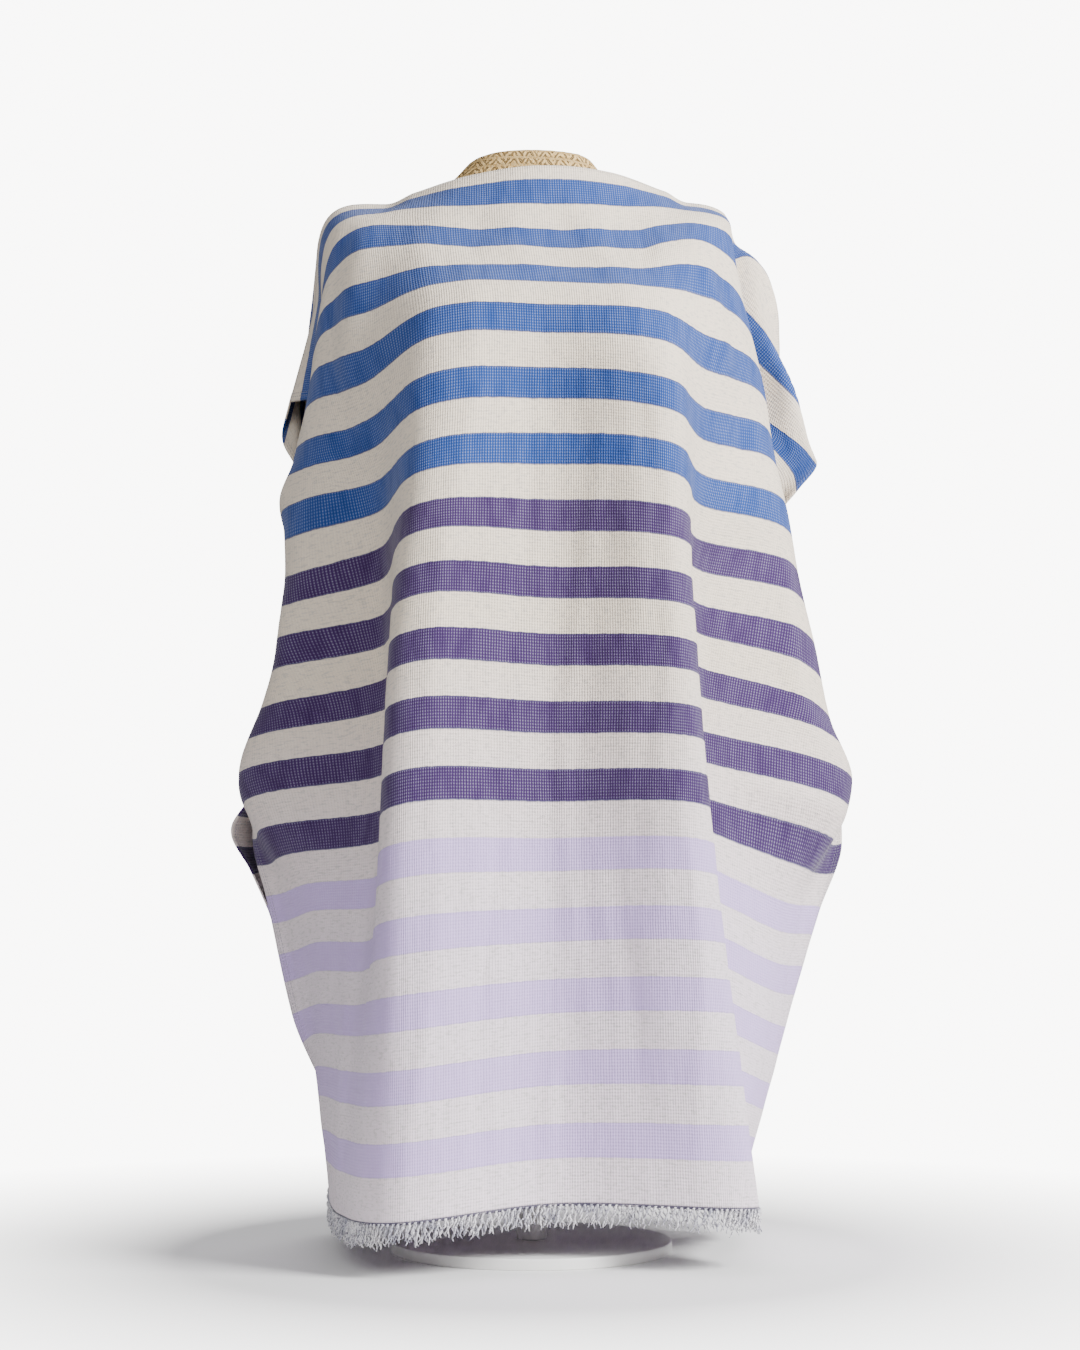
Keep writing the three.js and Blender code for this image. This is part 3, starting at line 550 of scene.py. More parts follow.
def shoulders_joined(lines, other, u, v):
    surface = drape(lines, u, v)
    top = np.array([0.0])
    inside = np.array([SHOULDER_EASE / 2])
    own, theirs = drape(lines, u, top)[0], drape(other, u, top)[0]
    end = seam_end(
        own,
        theirs,
        drape(lines, u, inside)[0],
        drape(other, u, inside)[0],
        drape(lines, u - np.sign(u), top)[0],
        drape(other, u - np.sign(u), top)[0],
    )
    closed = smooth_step(SLIT_HALF - SLIT_EASE, SLIT_HALF, np.abs(u - SLIT_CENTRE))
    fade = (1 - smooth_step(0, SHOULDER_EASE, v))[:, None] * closed[None, :]
    return surface + fade[..., None] * (end - own)[None]


def sewn_half(lines, other, u, v):
    """One half sewn to the other along the shoulders and down the sides."""
    surface = shoulders_joined(lines, other, u, v)
    sewn = smooth_step(SLEEVE_LENGTH - SIDE_EASE, SLEEVE_LENGTH, v)
    sewn = sewn * (1 - smooth_step(SIDE_SEAM_END, SIDE_SEAM_END + SIDE_EASE, v))
    for edge in (LEFT_EDGE, RIGHT_EDGE):
        places = np.array([edge, edge - math.copysign(SIDE_EASE / 2, edge)])
        own, theirs = (shoulders_joined(a, b, places, v) for a, b in ((lines, other), (other, lines)))
        own_next, their_next = (
            shoulders_joined(a, b, places[:1], v + 1) for a, b in ((lines, other), (other, lines))
        )
        end = seam_end(own[:, 0], theirs[:, 0], own[:, 1], theirs[:, 1], own_next[:, 0], their_next[:, 0])
        fade = sewn[:, None] * (1 - smooth_step(0, SIDE_EASE, np.abs(u - edge)))[None, :]
        surface = surface + fade[..., None] * (end - own[:, 0])[:, None]
    return surface


def creased(u, v, creases, seed):
    """Height of the creases and of the cloth's small unevenness, in millimetres."""
    across, down = np.meshgrid(u, v)
    height = np.zeros_like(across)
    for u0, v0, u1, v1, width, rise in creases:
        run = np.array([u1 - u0, v1 - v0], float)
        along = ((across - u0) * run[0] + (down - v0) * run[1]) / (run @ run)
        bow = 0.03 * math.hypot(*run) * np.sin(along * 5 + u0)
        off = ((across - u0) * run[1] - (down - v0) * run[0]) / math.hypot(*run) + bow
        fade = smooth_step(-0.12, 0.25, along) * (1 - smooth_step(0.7, 1.12, along))
        height += rise * fade * np.exp(-((off / width) ** 2))
    grain = [
        0.9 * noise.noise(Vector((a / 46, b / 120, seed)))
        + 0.55 * noise.noise(Vector((a / 21, b / 38, seed + 5)))
        for a, b in zip(across.ravel(), down.ravel())
    ]
    height += np.array(grain).reshape(height.shape)
    edge = np.minimum(across - LEFT_EDGE, RIGHT_EDGE - across)
    rim = smooth_step(0, 30, edge) * smooth_step(0, 25, down) * smooth_step(0, 20, CLOTH_LENGTH - down)
    return height * (0.25 + 0.75 * rim)


def normals_of(points, outward):
    down = np.gradient(points, axis=0)
    across = np.gradient(points, axis=1)
    return unit(np.cross(across, down)) * outward


def wall_mesh(name, points, thickness, outward, u, v):
    """A closed wall of cloth round a grid of points, with a map of the towel's own metres."""
    offset = normals_of(points, outward) * thickness[..., None] / 2
    deep, wide = points.shape[:2]
    vertices = np.concatenate([(points + offset).reshape(-1, 3), (points - offset).reshape(-1, 3)])
    grid = np.arange(deep * wide).reshape(deep, wide)
    outer = np.stack([grid[:-1, :-1], grid[:-1, 1:], grid[1:, 1:], grid[1:, :-1]], -1).reshape(-1, 4)
    inner = outer[:, ::-1] + deep * wide
    ring = np.concatenate([grid[0, :-1], grid[:-1, -1], grid[-1, :0:-1], grid[:0:-1, 0]])
    following = np.roll(ring, -1)
    rim = np.stack([ring, ring + deep * wide, following + deep * wide, following], -1)
    faces = np.concatenate([outer, inner, rim])
    if outward < 0:
        faces = faces[:, ::-1]
    mesh = bpy.data.meshes.new(name)
    mesh.from_pydata((vertices / 1000).tolist(), [], faces.tolist())
    across, down = np.meshgrid(u, v)
    flat = np.stack([(across - LEFT_EDGE).ravel(), down.ravel()], -1) / 1000
    flat = np.concatenate([flat, flat])
    layer = mesh.uv_layers.new(name="Towel")
    loops = np.empty(len(mesh.loops), np.int32)
    mesh.loops.foreach_get("vertex_index", loops)
    layer.data.foreach_set("uv", flat[loops].astype(np.float32).ravel())
    mesh.polygons.foreach_set("use_smooth", np.ones(len(mesh.polygons), bool))
    mesh.update()
    return mesh


# ---- shader maths ----
class Wire:
    """One socket of a material, with the usual arithmetic."""

    def __init__(self, maker, socket):
        self.maker = maker
        self.socket = socket

    def maths(self, operation, *others):
        return self.maker.add("ShaderNodeMath", {"operation": operation}, [self, *others])

    def __add__(self, other):
        return self.maths("ADD", other)

    def __sub__(self, other):
        return self.maths("SUBTRACT", other)

    def __rsub__(self, other):
        return self.maker.add("ShaderNodeMath", {"operation": "SUBTRACT"}, [other, self])

    def __mul__(self, other):
        return self.maths("MULTIPLY", other)

    def __truediv__(self, other):
        return self.maths("DIVIDE", other)

    __radd__ = __add__
    __rmul__ = __mul__

    def band(self, low, high, soft):
        """One inside low to high, nought outside, over a soft edge."""
        rise = ((self - (low - soft / 2)) / soft).maths("MAXIMUM", 0.0).maths("MINIMUM", 1.0)
        fall = (((high + soft / 2) - self) / soft).maths("MAXIMUM", 0.0).maths("MINIMUM", 1.0)
        return rise * fall

    def wave(self, pitch):
        """A sine of this pitch, from nought to one."""
        return (self * (2 * math.pi / pitch)).maths("SINE") * 0.5 + 0.5


class Finish:
    """A material made of one Principled shader and the nodes that feed it."""

    def __init__(self, name, **constants):
        self.material = bpy.data.materials.new(name)
        self.material.use_nodes = True
        self.tree = self.material.node_tree
        self.shader = self.tree.nodes["Principled BSDF"]
        for socket, value in constants.items():
            self.shader.inputs[socket.replace("_", " ")].default_value = value

    def add(self, kind, settings, inputs, output=0):
        node = self.tree.nodes.new(kind)
        for key, value in settings.items():
            if key == "stops":
                ramp = node.color_ramp
                ramp.interpolation = "CONSTANT"
                while len(ramp.elements) < len(value):
                    ramp.elements.new(1.0)
                for element, (place, colour) in zip(ramp.elements, value):
                    element.position = place
                    element.color = (*colour, 1)
            else:
                setattr(node, key, value)
        pairs = inputs.items() if isinstance(inputs, dict) else enumerate(inputs)
        for key, value in pairs:
            self.put(node.inputs[key], value)
        return Wire(self, node.outputs[output])

    def put(self, socket, value):
        if isinstance(value, Wire):
            self.tree.links.new(value.socket, socket)
        elif socket.type == "RGBA":
            socket.default_value = (*value, 1)
        else:
            socket.default_value = value

    def mix(self, factor, first, second):
        settings = {"data_type": "RGBA"}
        return self.add("ShaderNodeMix", settings, {0: factor, 6: first, 7: second}, output=2)

    def cloud(self, where, scale, detail=2.0):
        return self.add("ShaderNodeTexNoise", {}, {"Vector": where, "Scale": scale, "Detail": detail})

    def feed(self, **wires):
        for socket, wire in wires.items():
            self.put(self.shader.inputs[socket.replace("_", " ")], wire)
        return self.material


def towel_finish(looks):
    """White cotton with woven stripes, ribs along the towel, stitched edges and a thin hem line, with painted
    shade in the weave's hollows.
    """
    towel = Finish("Striped Cotton Towel", Roughness=0.92, Sheen_Weight=0.2, Sheen_Roughness=0.5)
    towel.shader.inputs["Specular IOR Level"].default_value = 0.2
    place = towel.add("ShaderNodeUVMap", {"uv_map": "Towel"}, [])
    u = towel.add("ShaderNodeSeparateXYZ", {}, [place], output=0) * 1000.0
    v = towel.add("ShaderNodeSeparateXYZ", {}, [place], output=1) * 1000.0
    stretched = towel.add("ShaderNodeVectorMath", {"operation": "MULTIPLY"}, [place, (1, 0.3, 1)])
    uneven = towel.cloud(stretched, 160.0, 3.0)
    drawn_across = towel.add("ShaderNodeVectorMath", {"operation": "MULTIPLY"}, [place, (0.35, 1, 1)])
    slubs = towel.cloud(drawn_across, 420.0)
    slow = towel.cloud(place, 9.0)
    patches = towel.cloud(stretched, 75.0, 2.0).band(0.42, 1.2, 0.3)
    wander = v + (uneven - 0.5) * 1.6
    number = ((wander - looks.first_stripe) / looks.stripe_pitch).maths("FLOOR")
    within = wander - looks.first_stripe - number * looks.stripe_pitch
    exists = number.band(-0.5, 15.5, 0.01)
    stripe = within.band(0.0, looks.stripe_width, 0.8) * exists
    top_line = within.band(-0.4, 1.0, 0.5)
    bottom_line = within.band(looks.stripe_width - 1.0, looks.stripe_width + 0.4, 0.5)
    border = (top_line + bottom_line) * exists
    dyes = towel.add(
        "ShaderNodeValToRGB",
        {"stops": ((0.0, looks.blue), (6 / 16, looks.purple), (11 / 16, looks.lilac))},
        [(number + 0.5) / 16.0],
    )
    rib = (u + (slow - 0.5) * 2.0 + (uneven - 0.5) * 0.9).wave(looks.rib_pitch)
    pick = (v + (uneven - 0.5) * 0.8).wave(looks.pick_pitch)
    knit = rib * (pick * 0.6 + 0.4)
    lilac = number.band(10.5, 16.0, 0.01)
    thread = knit * knit * (0.35 + patches * 0.65) * (1.0 - lilac * 0.7) * looks.waffle
    pale = towel.mix(lilac, towel.mix(0.42, dyes, (0.78, 0.80, 0.95)), (0.78, 0.74, 0.86))
    dyed = towel.mix(thread, dyes, pale)
    # Painted shade: between the ribs and picks, where the weave's hollows are, the dye turns to a copy at
    # 0.45 of its brightness.
    painted_hollow_shade = towel.add("ShaderNodeVectorMath", {"operation": "SCALE"}, {0: dyes, "Scale": 0.45})
    dyed = towel.mix((1.0 - knit) * (1.0 - patches * 0.5) * 0.55 * (1.0 - lilac * 0.72), dyed, painted_hollow_shade)
    lower = v.band(620.0, 1200.0, 260.0)
    cotton = towel.mix(lower, looks.cotton, looks.lower_cotton)
    # Painted shade in the weave's hollows (where knit is low), together with the cotton's own uneven tone and
    # dark slubs, greys the ground.
    hollow_shade_and_mottle = (1.0 - knit) * 0.16 + (uneven - 0.5) * 0.30 + slubs.band(0.0, 0.42, 0.10) * 0.32
    ground = towel.mix(hollow_shade_and_mottle, cotton, (0.42, 0.40, 0.38))
    colour = towel.mix(stripe, ground, dyed)
    colour = towel.mix(border * (1.0 - lilac * 0.8) * 0.62, colour, (0.10, 0.10, 0.18))
    inset = u.maths("MINIMUM", (RIGHT_EDGE - LEFT_EDGE) - u)
    dashes = v.wave(3.4).band(0.35, 1.2, 0.2)
    stitch = (inset.band(4.4, 5.5, 0.5) + inset.band(8.0, 9.1, 0.5)) * dashes
    hem = v.band(997.4, 1001.0, 0.8) * (0.55 + slubs.band(0.4, 1.2, 0.1) * 0.6)
    colour = towel.mix(stitch * 0.45, colour, (0.25, 0.25, 0.32))
    colour = towel.mix(hem, colour, (0.12, 0.11, 0.16))
    drawn_down = towel.add("ShaderNodeVectorMath", {"operation": "MULTIPLY"}, [place, (1, 0.12, 1)])
    crinkle = towel.cloud(drawn_down, 85.0, 2.0) * lower
    weave = rib * 0.6 + pick * 0.4 + uneven * 0.9 + slubs * 0.5
    relief = weave - stitch * 1.2 + slow * 1.5 + crinkle * 2.6
    bump = towel.add("ShaderNodeBump", {}, {"Strength": 0.75, "Distance": 0.0007, "Height": relief})
    return towel.feed(Base_Color=colour, Normal=bump)


def fringe_finish():
    """Loose grey-lilac and white threads, with small dark flecks where a fine noise is low."""
    threads = Finish("Fringe Threads", Roughness=0.95, Sheen_Weight=0.2)
    place = threads.add("ShaderNodeTexCoord", {}, [], output=3)
    tint = threads.cloud(place, 55.0)
    fine = threads.cloud(place, 620.0, 1.0)
    colour = threads.mix(tint.band(0.45, 1.2, 0.25), (0.45, 0.45, 0.53), (0.80, 0.78, 0.80))
    colour = threads.mix(fine.band(0.0, 0.44, 0.12) * 0.8, colour, (0.16, 0.15, 0.20))
    bump = threads.add("ShaderNodeBump", {}, {"Strength": 0.5, "Distance": 0.0004, "Height": fine})
    return threads.feed(Base_Color=colour, Normal=bump)


def straw_finish(looks):
    """Golden straw braid whose slanting brown strokes and the hollows between its rows are darkened with
    painted shade.
    """
    straw = Finish("Woven Straw", Roughness=0.8, Specular_IOR_Level=0.2)
    place = straw.add("ShaderNodeTexCoord", {}, [], output=3)
    x, y, z = (straw.add("ShaderNodeSeparateXYZ", {}, [place], output=i) * 1000.0 for i in range(3))
    turn = straw.add("ShaderNodeMath", {"operation": "ARCTAN2"}, [x, y - 10.0])
    rough = straw.cloud(place, 150.0, 2.0)
    fibres = straw.cloud(place, 700.0, 1.0)
    column = (turn * 7.0 + (rough - 0.5) * 0.5).maths("FLOOR")
    slant = column.maths("MODULO", 2.0).maths("ABSOLUTE") * 2.0 - 1.0
    slope = turn * 62.0 + slant * z * 0.75 + (rough - 0.5) * 7.0
    row = (z + (rough - 0.5) * 3.0).wave(looks.braid)
    stroke = slope.wave(looks.braid * 0.72).band(0.0, 0.37, 0.20) * row.band(0.20, 1.3, 0.3)
    colour = straw.mix(fibres.band(0.45, 1.3, 0.2), looks.straw, (0.78, 0.55, 0.25))
    # Painted shade: the hollows between the braid's rows and the slanting strokes, both sunk in the bump,
    # take the dark shade colour.
    colour = straw.mix((1.0 - row) * 0.30, colour, looks.straw_shade)
    colour = straw.mix(stroke * 0.92, colour, looks.straw_shade)
    relief = row * 0.5 - stroke * 0.9 + rough * 0.6 + fibres * 0.4
    bump = straw.add("ShaderNodeBump", {}, {"Strength": 0.8, "Distance": 0.0015, "Height": relief})
    return straw.feed(Base_Color=colour, Normal=bump)


def paint_finish(looks):
    """Satin paint with a slight mottle, a little duller where it is rubbed."""
    paint = Finish("Satin Paint", Roughness=0.4)
    place = paint.add("ShaderNodeTexCoord", {}, [], output=3)
    mottle = paint.cloud(place, 35.0, 3.0)
    grain = paint.cloud(place, 900.0, 1.0)
    colour = paint.mix(mottle * 0.12, looks.paint, (0.62, 0.60, 0.57))
    bump = paint.add("ShaderNodeBump", {}, {"Strength": 0.15, "Distance": 0.0002, "Height": grain})
    return paint.feed(Base_Color=colour, Roughness=mottle * 0.25 + 0.28, Normal=bump)


def floor_finish(looks):
    """Pale paper that fades into the plain backdrop round the stand."""
    floor = Finish("Pale Floor", Roughness=0.9)
    place = floor.add("ShaderNodeTexCoord", {}, [], output=3)
    radius = floor.add("ShaderNodeVectorMath", {"operation": "LENGTH"}, [place], output=1)
    grain = floor.cloud(place, 5.0)
    floor.feed(Base_Color=floor.mix(grain * 0.1, looks.floor, (0.84, 0.835, 0.825)))
    faded = floor.add("ShaderNodeBsdfTransparent", {}, [])
    edge = radius.band(looks.floor_reach, 99.0, looks.floor_reach)
    both = floor.add("ShaderNodeMixShader", {}, {0: edge, 2: faded})
    floor.tree.links.new(floor.shader.outputs[0], both.socket.node.inputs[1])
    floor.tree.links.new(both.socket, floor.tree.nodes["Material Output"].inputs["Surface"])
    return floor.material


# ---- what a user would change ----
class ClothLooks(bpy.types.PropertyGroup):
    thickness: bpy.props.FloatProperty(
        name="Thickness", description="Thickness of the flat-woven cloth", default=0.0013, unit="LENGTH"
    )
    mesh_across: bpy.props.IntProperty(
        name="Mesh Across", description="Squares across one half of the towel", default=220, min=40
    )
    mesh_down: bpy.props.IntProperty(
        name="Mesh Down", description="Squares down one half of the towel", default=206, min=40
    )
    first_stripe: bpy.props.FloatProperty(
        name="First Stripe", description="Millimetres from the shoulder to the first stripe", default=16.0
    )
    stripe_pitch: bpy.props.FloatProperty(
        name="Stripe Pitch", description="Millimetres from one stripe to the next", default=61.0
    )
    stripe_width: bpy.props.FloatProperty(
        name="Stripe Width", description="Millimetres across a stripe", default=29.0
    )
    rib_pitch: bpy.props.FloatProperty(
        name="Rib Pitch", description="Millimetres between the ribs of the weave", default=2.35
    )
    pick_pitch: bpy.props.FloatProperty(
        name="Pick Pitch", description="Millimetres between the picks of the weave", default=2.75
    )
    waffle: bpy.props.FloatProperty(
        name="Waffle",
        description="How much the pale threads show in the stripes",
        subtype="FACTOR",
        default=0.68,
    )
    cotton: bpy.props.FloatVectorProperty(
        name="Cotton", description="Undyed cotton", subtype="COLOR", default=(0.89, 0.765, 0.615)
    )
    lower_cotton: bpy.props.FloatVectorProperty(
        name="Lower Cotton",
        description="Cotton between the lilac stripes",
        subtype="COLOR",
        default=(0.86, 0.75, 0.82),
    )
    blue: bpy.props.FloatVectorProperty(
        name="Blue", description="Upper stripes", subtype="COLOR", default=(0.011, 0.060, 0.29)
    )
    purple: bpy.props.FloatVectorProperty(
        name="Purple", description="Middle stripes", subtype="COLOR", default=(0.052, 0.017, 0.110)
    )
    lilac: bpy.props.FloatVectorProperty(
        name="Lilac", description="Lower stripes", subtype="COLOR", default=(0.60, 0.45, 0.82)
    )


class FringeSizes(bpy.types.PropertyGroup):
    length: bpy.props.FloatProperty(
        name="Length", description="Length of the loose threads", default=0.024, unit="LENGTH"
    )
    spacing: bpy.props.FloatProperty(
        name="Spacing", description="Distance between two tufts", default=0.0062, unit="LENGTH"
    )
    threads: bpy.props.IntProperty(name="Threads", description="Threads in one tuft", default=4, min=2)
    thread_width: bpy.props.FloatProperty(
        name="Thread Width", description="Thickness of one thread", default=0.0019, unit="LENGTH"
    )


class FormLooks(bpy.types.PropertyGroup):
    straw: bpy.props.FloatVectorProperty(
        name="Straw", description="Colour of the woven straw", subtype="COLOR", default=(0.60, 0.36, 0.11)
    )
    # Colour of the painted shade in the braid's strokes and between its rows.
    straw_shade: bpy.props.FloatVectorProperty(
        name="Straw Shade", description="Strokes of the braid", subtype="COLOR", default=(0.030, 0.012, 0.004)
    )
    braid: bpy.props.FloatProperty(
        name="Braid", description="Millimetres from one row of the braid to the next", default=8.0
    )
    paint: bpy.props.FloatVectorProperty(
        name="Paint", description="Paint of the stand", subtype="COLOR", default=(0.86, 0.85, 0.83)
    )


class StageLooks(bpy.types.PropertyGroup):
    floor: bpy.props.FloatVectorProperty(
        name="Floor",
        description="Colour of floor and backdrop",
        subtype="COLOR",
        default=(0.90, 0.895, 0.885),
    )
    key_power: bpy.props.FloatProperty(
        name="Key Power", description="Power of the large light", default=160.0, unit="POWER"
    )
    world: bpy.props.FloatProperty(name="World", description="Strength of the light all round", default=0.32)
    backdrop: bpy.props.FloatProperty(
        name="Backdrop", description="Brightness of the plain backdrop", default=9.0
    )
    floor_reach: bpy.props.FloatProperty(
        name="Floor Reach", description="How far round the stand the floor shows", default=0.65, unit="LENGTH"
    )


def dressed(mesh, material, slot, *nodes):
    piece = bpy.data.objects.new(mesh.name, mesh)
    bpy.context.scene.collection.objects.link(piece)
    mesh.materials.append(material)
    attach(piece, "root")
    if nodes:
        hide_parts(*nodes)
    return piece


def wall_thickness(u, v, thickness):
    """The cloth's thickness, more where the edges are turned under and stitched."""
    across, down = np.meshgrid(u, v)
    inset = np.minimum(across - LEFT_EDGE, RIGHT_EDGE - across)
    turned = 1 - smooth_step(8.5, 10.5, inset)
    thinned = 1 - 0.45 * smooth_step(996, 1000, down)
    return thickness * 1000 * (1 + 0.5 * turned) * thinned


def cloth_half(scene, name, lines, other, creases, outward, seed, node):
    looks = scene.poncho_cloth
    u = np.linspace(LEFT_EDGE, RIGHT_EDGE, looks.mesh_across + 1)
    v = np.linspace(0, CLOTH_LENGTH, looks.mesh_down + 1)
    points = sewn_half(lines, other, u, v)
    points = points + normals_of(points, outward) * creased(u, v, creases, seed)[..., None]
    mesh = wall_mesh(name, points, wall_thickness(u, v, looks.thickness), outward, u, v)
    material = bpy.data.materials.get("Striped Cotton Towel") or towel_finish(looks)
    return dressed(mesh, material, "towel", node)


def thread_tuft(place, side, away, sizes, number):
    """One tuft below the hem: a few threads twisted round each other, each a tapering tube."""
    vertices, faces = [], []
    place, side, away = Vector(place), Vector(side), Vector(away)
    knots, corners = 8, 4
    own = Vector((number * 0.731, number * 0.213, place.x * 9))
    lean = noise.noise(own) * 0.55
    reach = sizes.length * (0.92 + 0.30 * noise.noise(own + Vector((3, 1, 8))))
    loose = 0.45 + 0.5 * abs(noise.noise(own * 1.7))
    for thread in range(sizes.threads):
        key = own + Vector((thread * 1.7, thread * 0.9, 4))
        length = reach * (0.86 + 0.28 * noise.noise(key * 2.3))
        offset = (thread / (sizes.threads - 1) - 0.5) * sizes.spacing * 0.85
        for k in range(knots):
            t = k / (knots - 1)
            twist = t * (7.0 + 3.0 * noise.noise(own)) + thread * 2.1 + number
            gather = 1 - 0.65 * math.sin(min(t * 1.6, 1.0) * math.pi)
            across = offset * (gather + 0.9 * t * loose) + math.sin(twist) * sizes.thread_width * 0.75
            across += (lean * t + noise.noise(key + Vector((t * 2.2, 7, 0))) * t * loose) * sizes.spacing
            deep = math.cos(twist) * sizes.thread_width * 0.75 + noise.noise(key) * 0.003 * t
            centre = place + side * across + away * deep + Vector((0, 0, 0.001 - length * t * (1 - 0.06 * t)))
            radius = sizes.thread_width / 2 * (1.1 - 0.55 * t * t)
            for corner in range(corners):
                angle = corner * 2 * math.pi / corners + twist * 0.5
                vertices.append(centre + (side * math.cos(angle) + away * math.sin(angle)) * radius)
        base = len(vertices) - corners * knots
        for k in range(knots - 1):
            for corner in range(corners):
                a, b = base + corners * k + corner, base + corners * k + (corner + 1) % corners
                faces.append((a, a + corners, b + corners, b))
        faces.append(tuple(range(base, base + corners)))
        faces.append(tuple(range(len(vertices) - 1, len(vertices) - 1 - corners, -1)))
    return vertices, faces


def fringe_threads(scene, name, lines, other, node):
    sizes = scene.poncho_fringe
    count = int((RIGHT_EDGE - LEFT_EDGE) / 1000 / sizes.spacing)
    u = np.linspace(LEFT_EDGE + 2, RIGHT_EDGE - 2, count)
    hem = sewn_half(lines, other, u, np.array([CLOTH_LENGTH - 0.5]))[0] / 1000
    ways = unit(np.gradient(hem, axis=0) * (1, 1, 0))
    vertices, faces = [], []
    for number, (place, side) in enumerate(zip(hem, ways)):
        away = np.array([-side[1], side[0], 0])
        points, rings = thread_tuft(place, side, away, sizes, number)
        faces += [tuple(k + len(vertices) for k in ring) for ring in rings]
        vertices += points
    mesh = bpy.data.meshes.new(name)
    mesh.from_pydata(vertices, [], faces)
    mesh.polygons.foreach_set("use_smooth", np.ones(len(mesh.polygons), bool))
    material = bpy.data.materials.get("Fringe Threads") or fringe_finish()
    return dressed(mesh, material, "towel", node)


class PONCHO_OT_cloth(bpy.types.Operator):
    """Make the front and back halves of the towel, sewn together, with their fringes"""

    bl_idname = "poncho.cloth"
    bl_label = "Cloth and Fringes"

    def execute(self, context):
        noise.seed_set(7)
        scene = context.scene
        for side, lines, other, creases, outward, seed in (
            ("front", FRONT_LINES, BACK_LINES, FRONT_CREASES, -1, 2.0),
            ("back", BACK_LINES, FRONT_LINES, BACK_CREASES, 1, 11.0),
        ):
            cloth = cloth_half(
                scene, f"{side}_cloth", lines, other, creases, outward, seed, f"{side}_panel"
            )
            threads = fringe_threads(scene, f"{side}_threads", lines, other, f"fringe_{side}")
        return {"FINISHED"}


def merged_copy(node, name):
    """A copy of a CAD node with its triangles joined, left as the active object."""
    bpy.ops.object.select_all(action="DESELECT")
    source = frame["nodes"][node]
    piece = source.copy()
    piece.data = source.data.copy()
    piece.name = piece.data.name = name
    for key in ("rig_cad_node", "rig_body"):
        del piece[key]
    bpy.context.scene.collection.objects.link(piece)
    piece.select_set(True)
    bpy.context.view_layer.objects.active = piece
    bpy.ops.object.mode_set(mode="EDIT")
    bpy.ops.mesh.select_all(action="SELECT")
    bpy.ops.mesh.remove_doubles(threshold=0.00001)
    bpy.ops.mesh.tris_convert_to_quads()
    bpy.ops.object.mode_set(mode="OBJECT")
    return piece


def finished_copy(piece, node, material):
    """The copy takes its material and stands for its node."""
    piece.data.materials.clear()
    piece.data.materials.append(material)
    piece.parent = None
    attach(piece, "root")
    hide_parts(node)


class PONCHO_OT_form(bpy.types.Operator):
    """Finish the dress form's woven skin and round its surface"""

    bl_idname = "poncho.form"
    bl_label = "Dress Form"

    def execute(self, context):
        skin = merged_copy("form_body", "form_skin")
        rounding = skin.modifiers.new("Rounding", "SUBSURF")
        rounding.levels = rounding.render_levels = 2
        bpy.ops.object.modifier_apply(modifier=rounding.name)
        bpy.ops.object.shade_smooth()
        finished_copy(skin, "form_body", straw_finish(context.scene.poncho_form))
        return {"FINISHED"}


class PONCHO_OT_stand(bpy.types.Operator):
    """Paint the pole and the base plate, with softened edges"""

    bl_idname = "poncho.stand"
    bl_label = "Stand"

    def execute(self, context):
        material = paint_finish(context.scene.poncho_form)
        for node, name in (("stand_pole", "painted_pole"), ("stand_base", "painted_base")):
            piece = merged_copy(node, name)
            edges = piece.modifiers.new("Edges", "BEVEL")
            edges.width = 0.0012
            edges.segments = 3
            edges.limit_method = "ANGLE"
            bpy.ops.object.modifier_apply(modifier=edges.name)
            bpy.ops.object.shade_smooth_by_angle(angle=math.radians(30))
            finished_copy(piece, node, material)
        return {"FINISHED"}


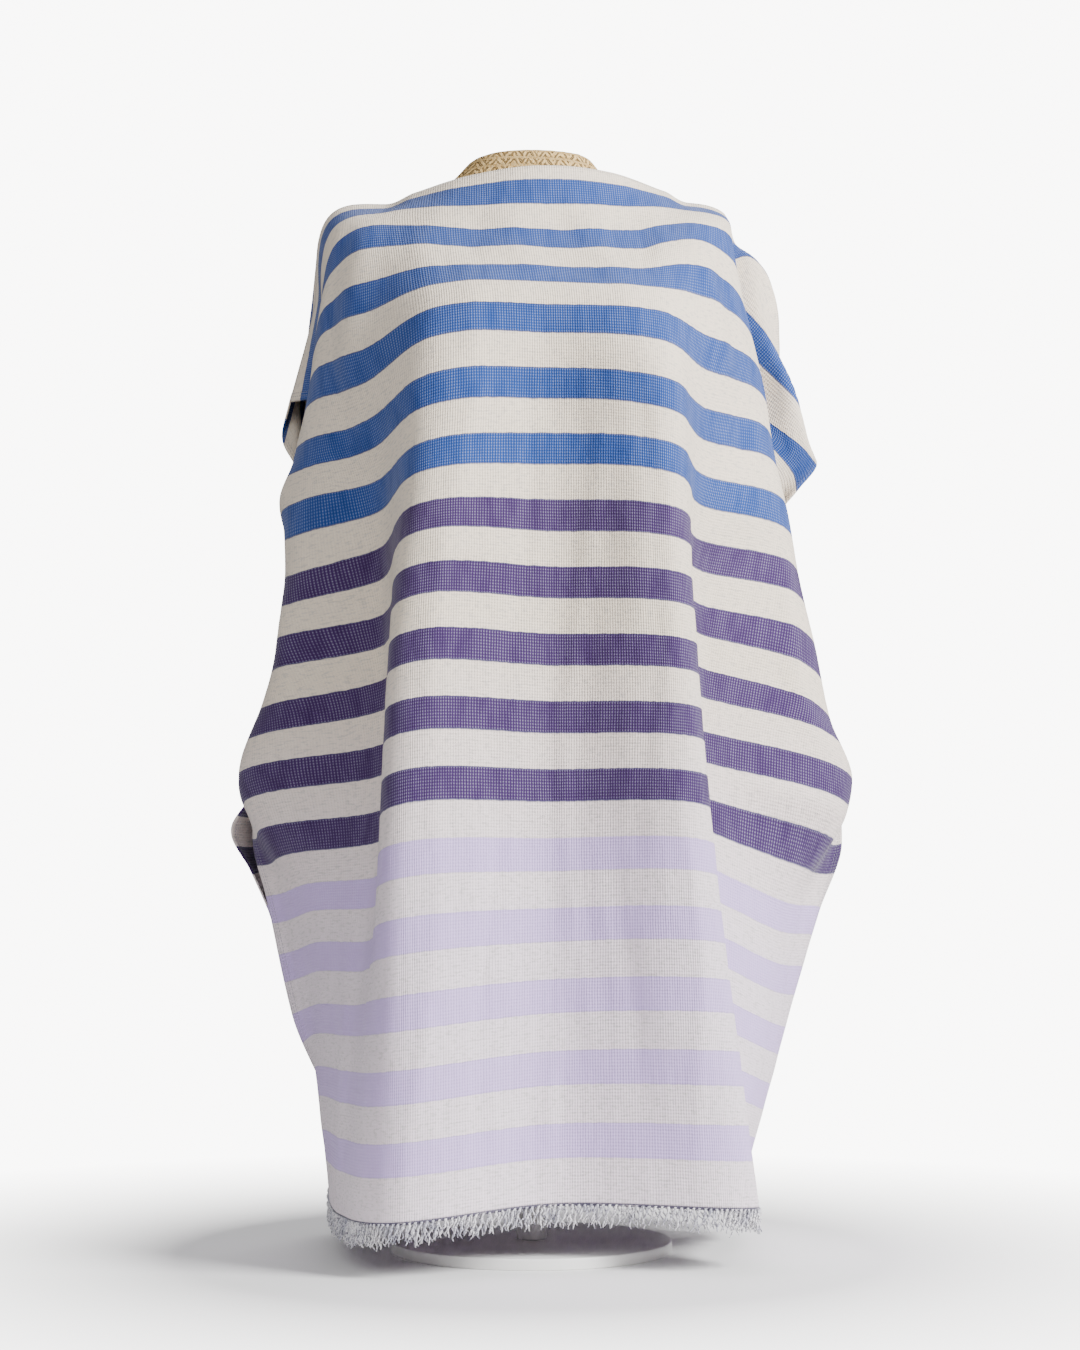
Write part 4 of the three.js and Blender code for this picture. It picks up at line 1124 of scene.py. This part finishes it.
class PONCHO_OT_stage(bpy.types.Operator):
    """Set up the pale floor and backdrop, the soft lights and the camera"""

    bl_idname = "poncho.stage"
    bl_label = "Stage, Lights and Camera"

    def execute(self, context):
        looks = context.scene.poncho_stage
        bpy.ops.object.select_all(action="DESELECT")
        bpy.ops.mesh.primitive_plane_add(size=8, location=(0, 0, 0))
        floor = context.object
        floor.name = "floor"
        floor.data.materials.append(floor_finish(looks))
        world = context.scene.world or bpy.data.worlds.new("Studio")
        context.scene.world = world
        world.use_nodes = True
        tree = world.node_tree
        sky = tree.nodes["Background"]
        sky.inputs["Color"].default_value = (0.95, 0.96, 1.0, 1)
        sky.inputs["Strength"].default_value = looks.world
        paper = tree.nodes.new("ShaderNodeBackground")
        paper.inputs["Color"].default_value = (1.0, 0.99, 0.975, 1)
        paper.inputs["Strength"].default_value = looks.backdrop
        seen = tree.nodes.new("ShaderNodeLightPath").outputs["Is Camera Ray"]
        either = tree.nodes.new("ShaderNodeMixShader")
        for start, end in (
            (seen, either.inputs[0]),
            (sky.outputs[0], either.inputs[1]),
            (paper.outputs[0], either.inputs[2]),
            (either.outputs[0], tree.nodes["World Output"].inputs["Surface"]),
        ):
            tree.links.new(start, end)
        for name, place, aim, size, power in (
            ("key_light", (1.75, -1.35, 1.55), (0, 0, 0.55), 1.0, looks.key_power),
            ("fill_light", (-1.1, -2.3, 1.9), (-0.1, 0, 0.8), 1.6, looks.key_power * 0.22),
            ("back_light", (0.6, 2.4, 1.8), (0, 0, 0.6), 1.6, looks.key_power * 0.22),
        ):
            lamp = bpy.data.lights.new(name, "AREA")
            lamp.size = size
            lamp.energy = power
            holder = bpy.data.objects.new(name, lamp)
            context.scene.collection.objects.link(holder)
            holder.location = place
            holder.rotation_euler = (Vector(place) - Vector(aim)).to_track_quat("Z", "Y").to_euler()
        camera = bpy.data.objects.new("camera", bpy.data.cameras.new("camera"))
        camera.data.lens = 56.03
        camera.data.sensor_width = 36
        turn = math.radians(-7.5)
        camera.location = (0.008 + math.sin(turn) * 2, -math.cos(turn) * 2, 0.274)
        camera.rotation_euler = (math.radians(97.5), 0, turn)
        context.scene.collection.objects.link(camera)
        context.scene.camera = camera
        return {"FINISHED"}


class PONCHO_PT_panel(bpy.types.Panel):
    """Lists the poncho's steps and sizes"""

    bl_idname = "PONCHO_PT_panel"
    bl_label = "Towel Poncho"
    bl_space_type = "VIEW_3D"
    bl_region_type = "UI"
    bl_category = "Poncho"

    def draw(self, context):
        for step, settings in STEPS:
            box = self.layout.box()
            box.operator(step.bl_idname)
            for group in settings:
                holder = getattr(context.scene, group)
                for name in holder.__annotations__:
                    box.prop(holder, name)


GROUPS = {
    "poncho_cloth": ClothLooks,
    "poncho_fringe": FringeSizes,
    "poncho_form": FormLooks,
    "poncho_stage": StageLooks,
}
STEPS = (
    (PONCHO_OT_cloth, ("poncho_cloth", "poncho_fringe")),
    (PONCHO_OT_form, ("poncho_form",)),
    (PONCHO_OT_stand, ()),
    (PONCHO_OT_stage, ("poncho_stage",)),
)


def register():
    for name, group in GROUPS.items():
        bpy.utils.register_class(group)
        setattr(bpy.types.Scene, name, bpy.props.PointerProperty(type=group))
    for step, _ in STEPS:
        bpy.utils.register_class(step)
    bpy.utils.register_class(PONCHO_PT_panel)


def unregister():
    bpy.utils.unregister_class(PONCHO_PT_panel)
    for step, _ in reversed(STEPS):
        bpy.utils.unregister_class(step)
    for name, group in reversed(GROUPS.items()):
        delattr(bpy.types.Scene, name)
        bpy.utils.unregister_class(group)


def main():
    register()
    bpy.ops.poncho.cloth()
    bpy.ops.poncho.form()
    bpy.ops.poncho.stand()
    bpy.ops.poncho.stage()


if __name__ == "__main__":
    main()
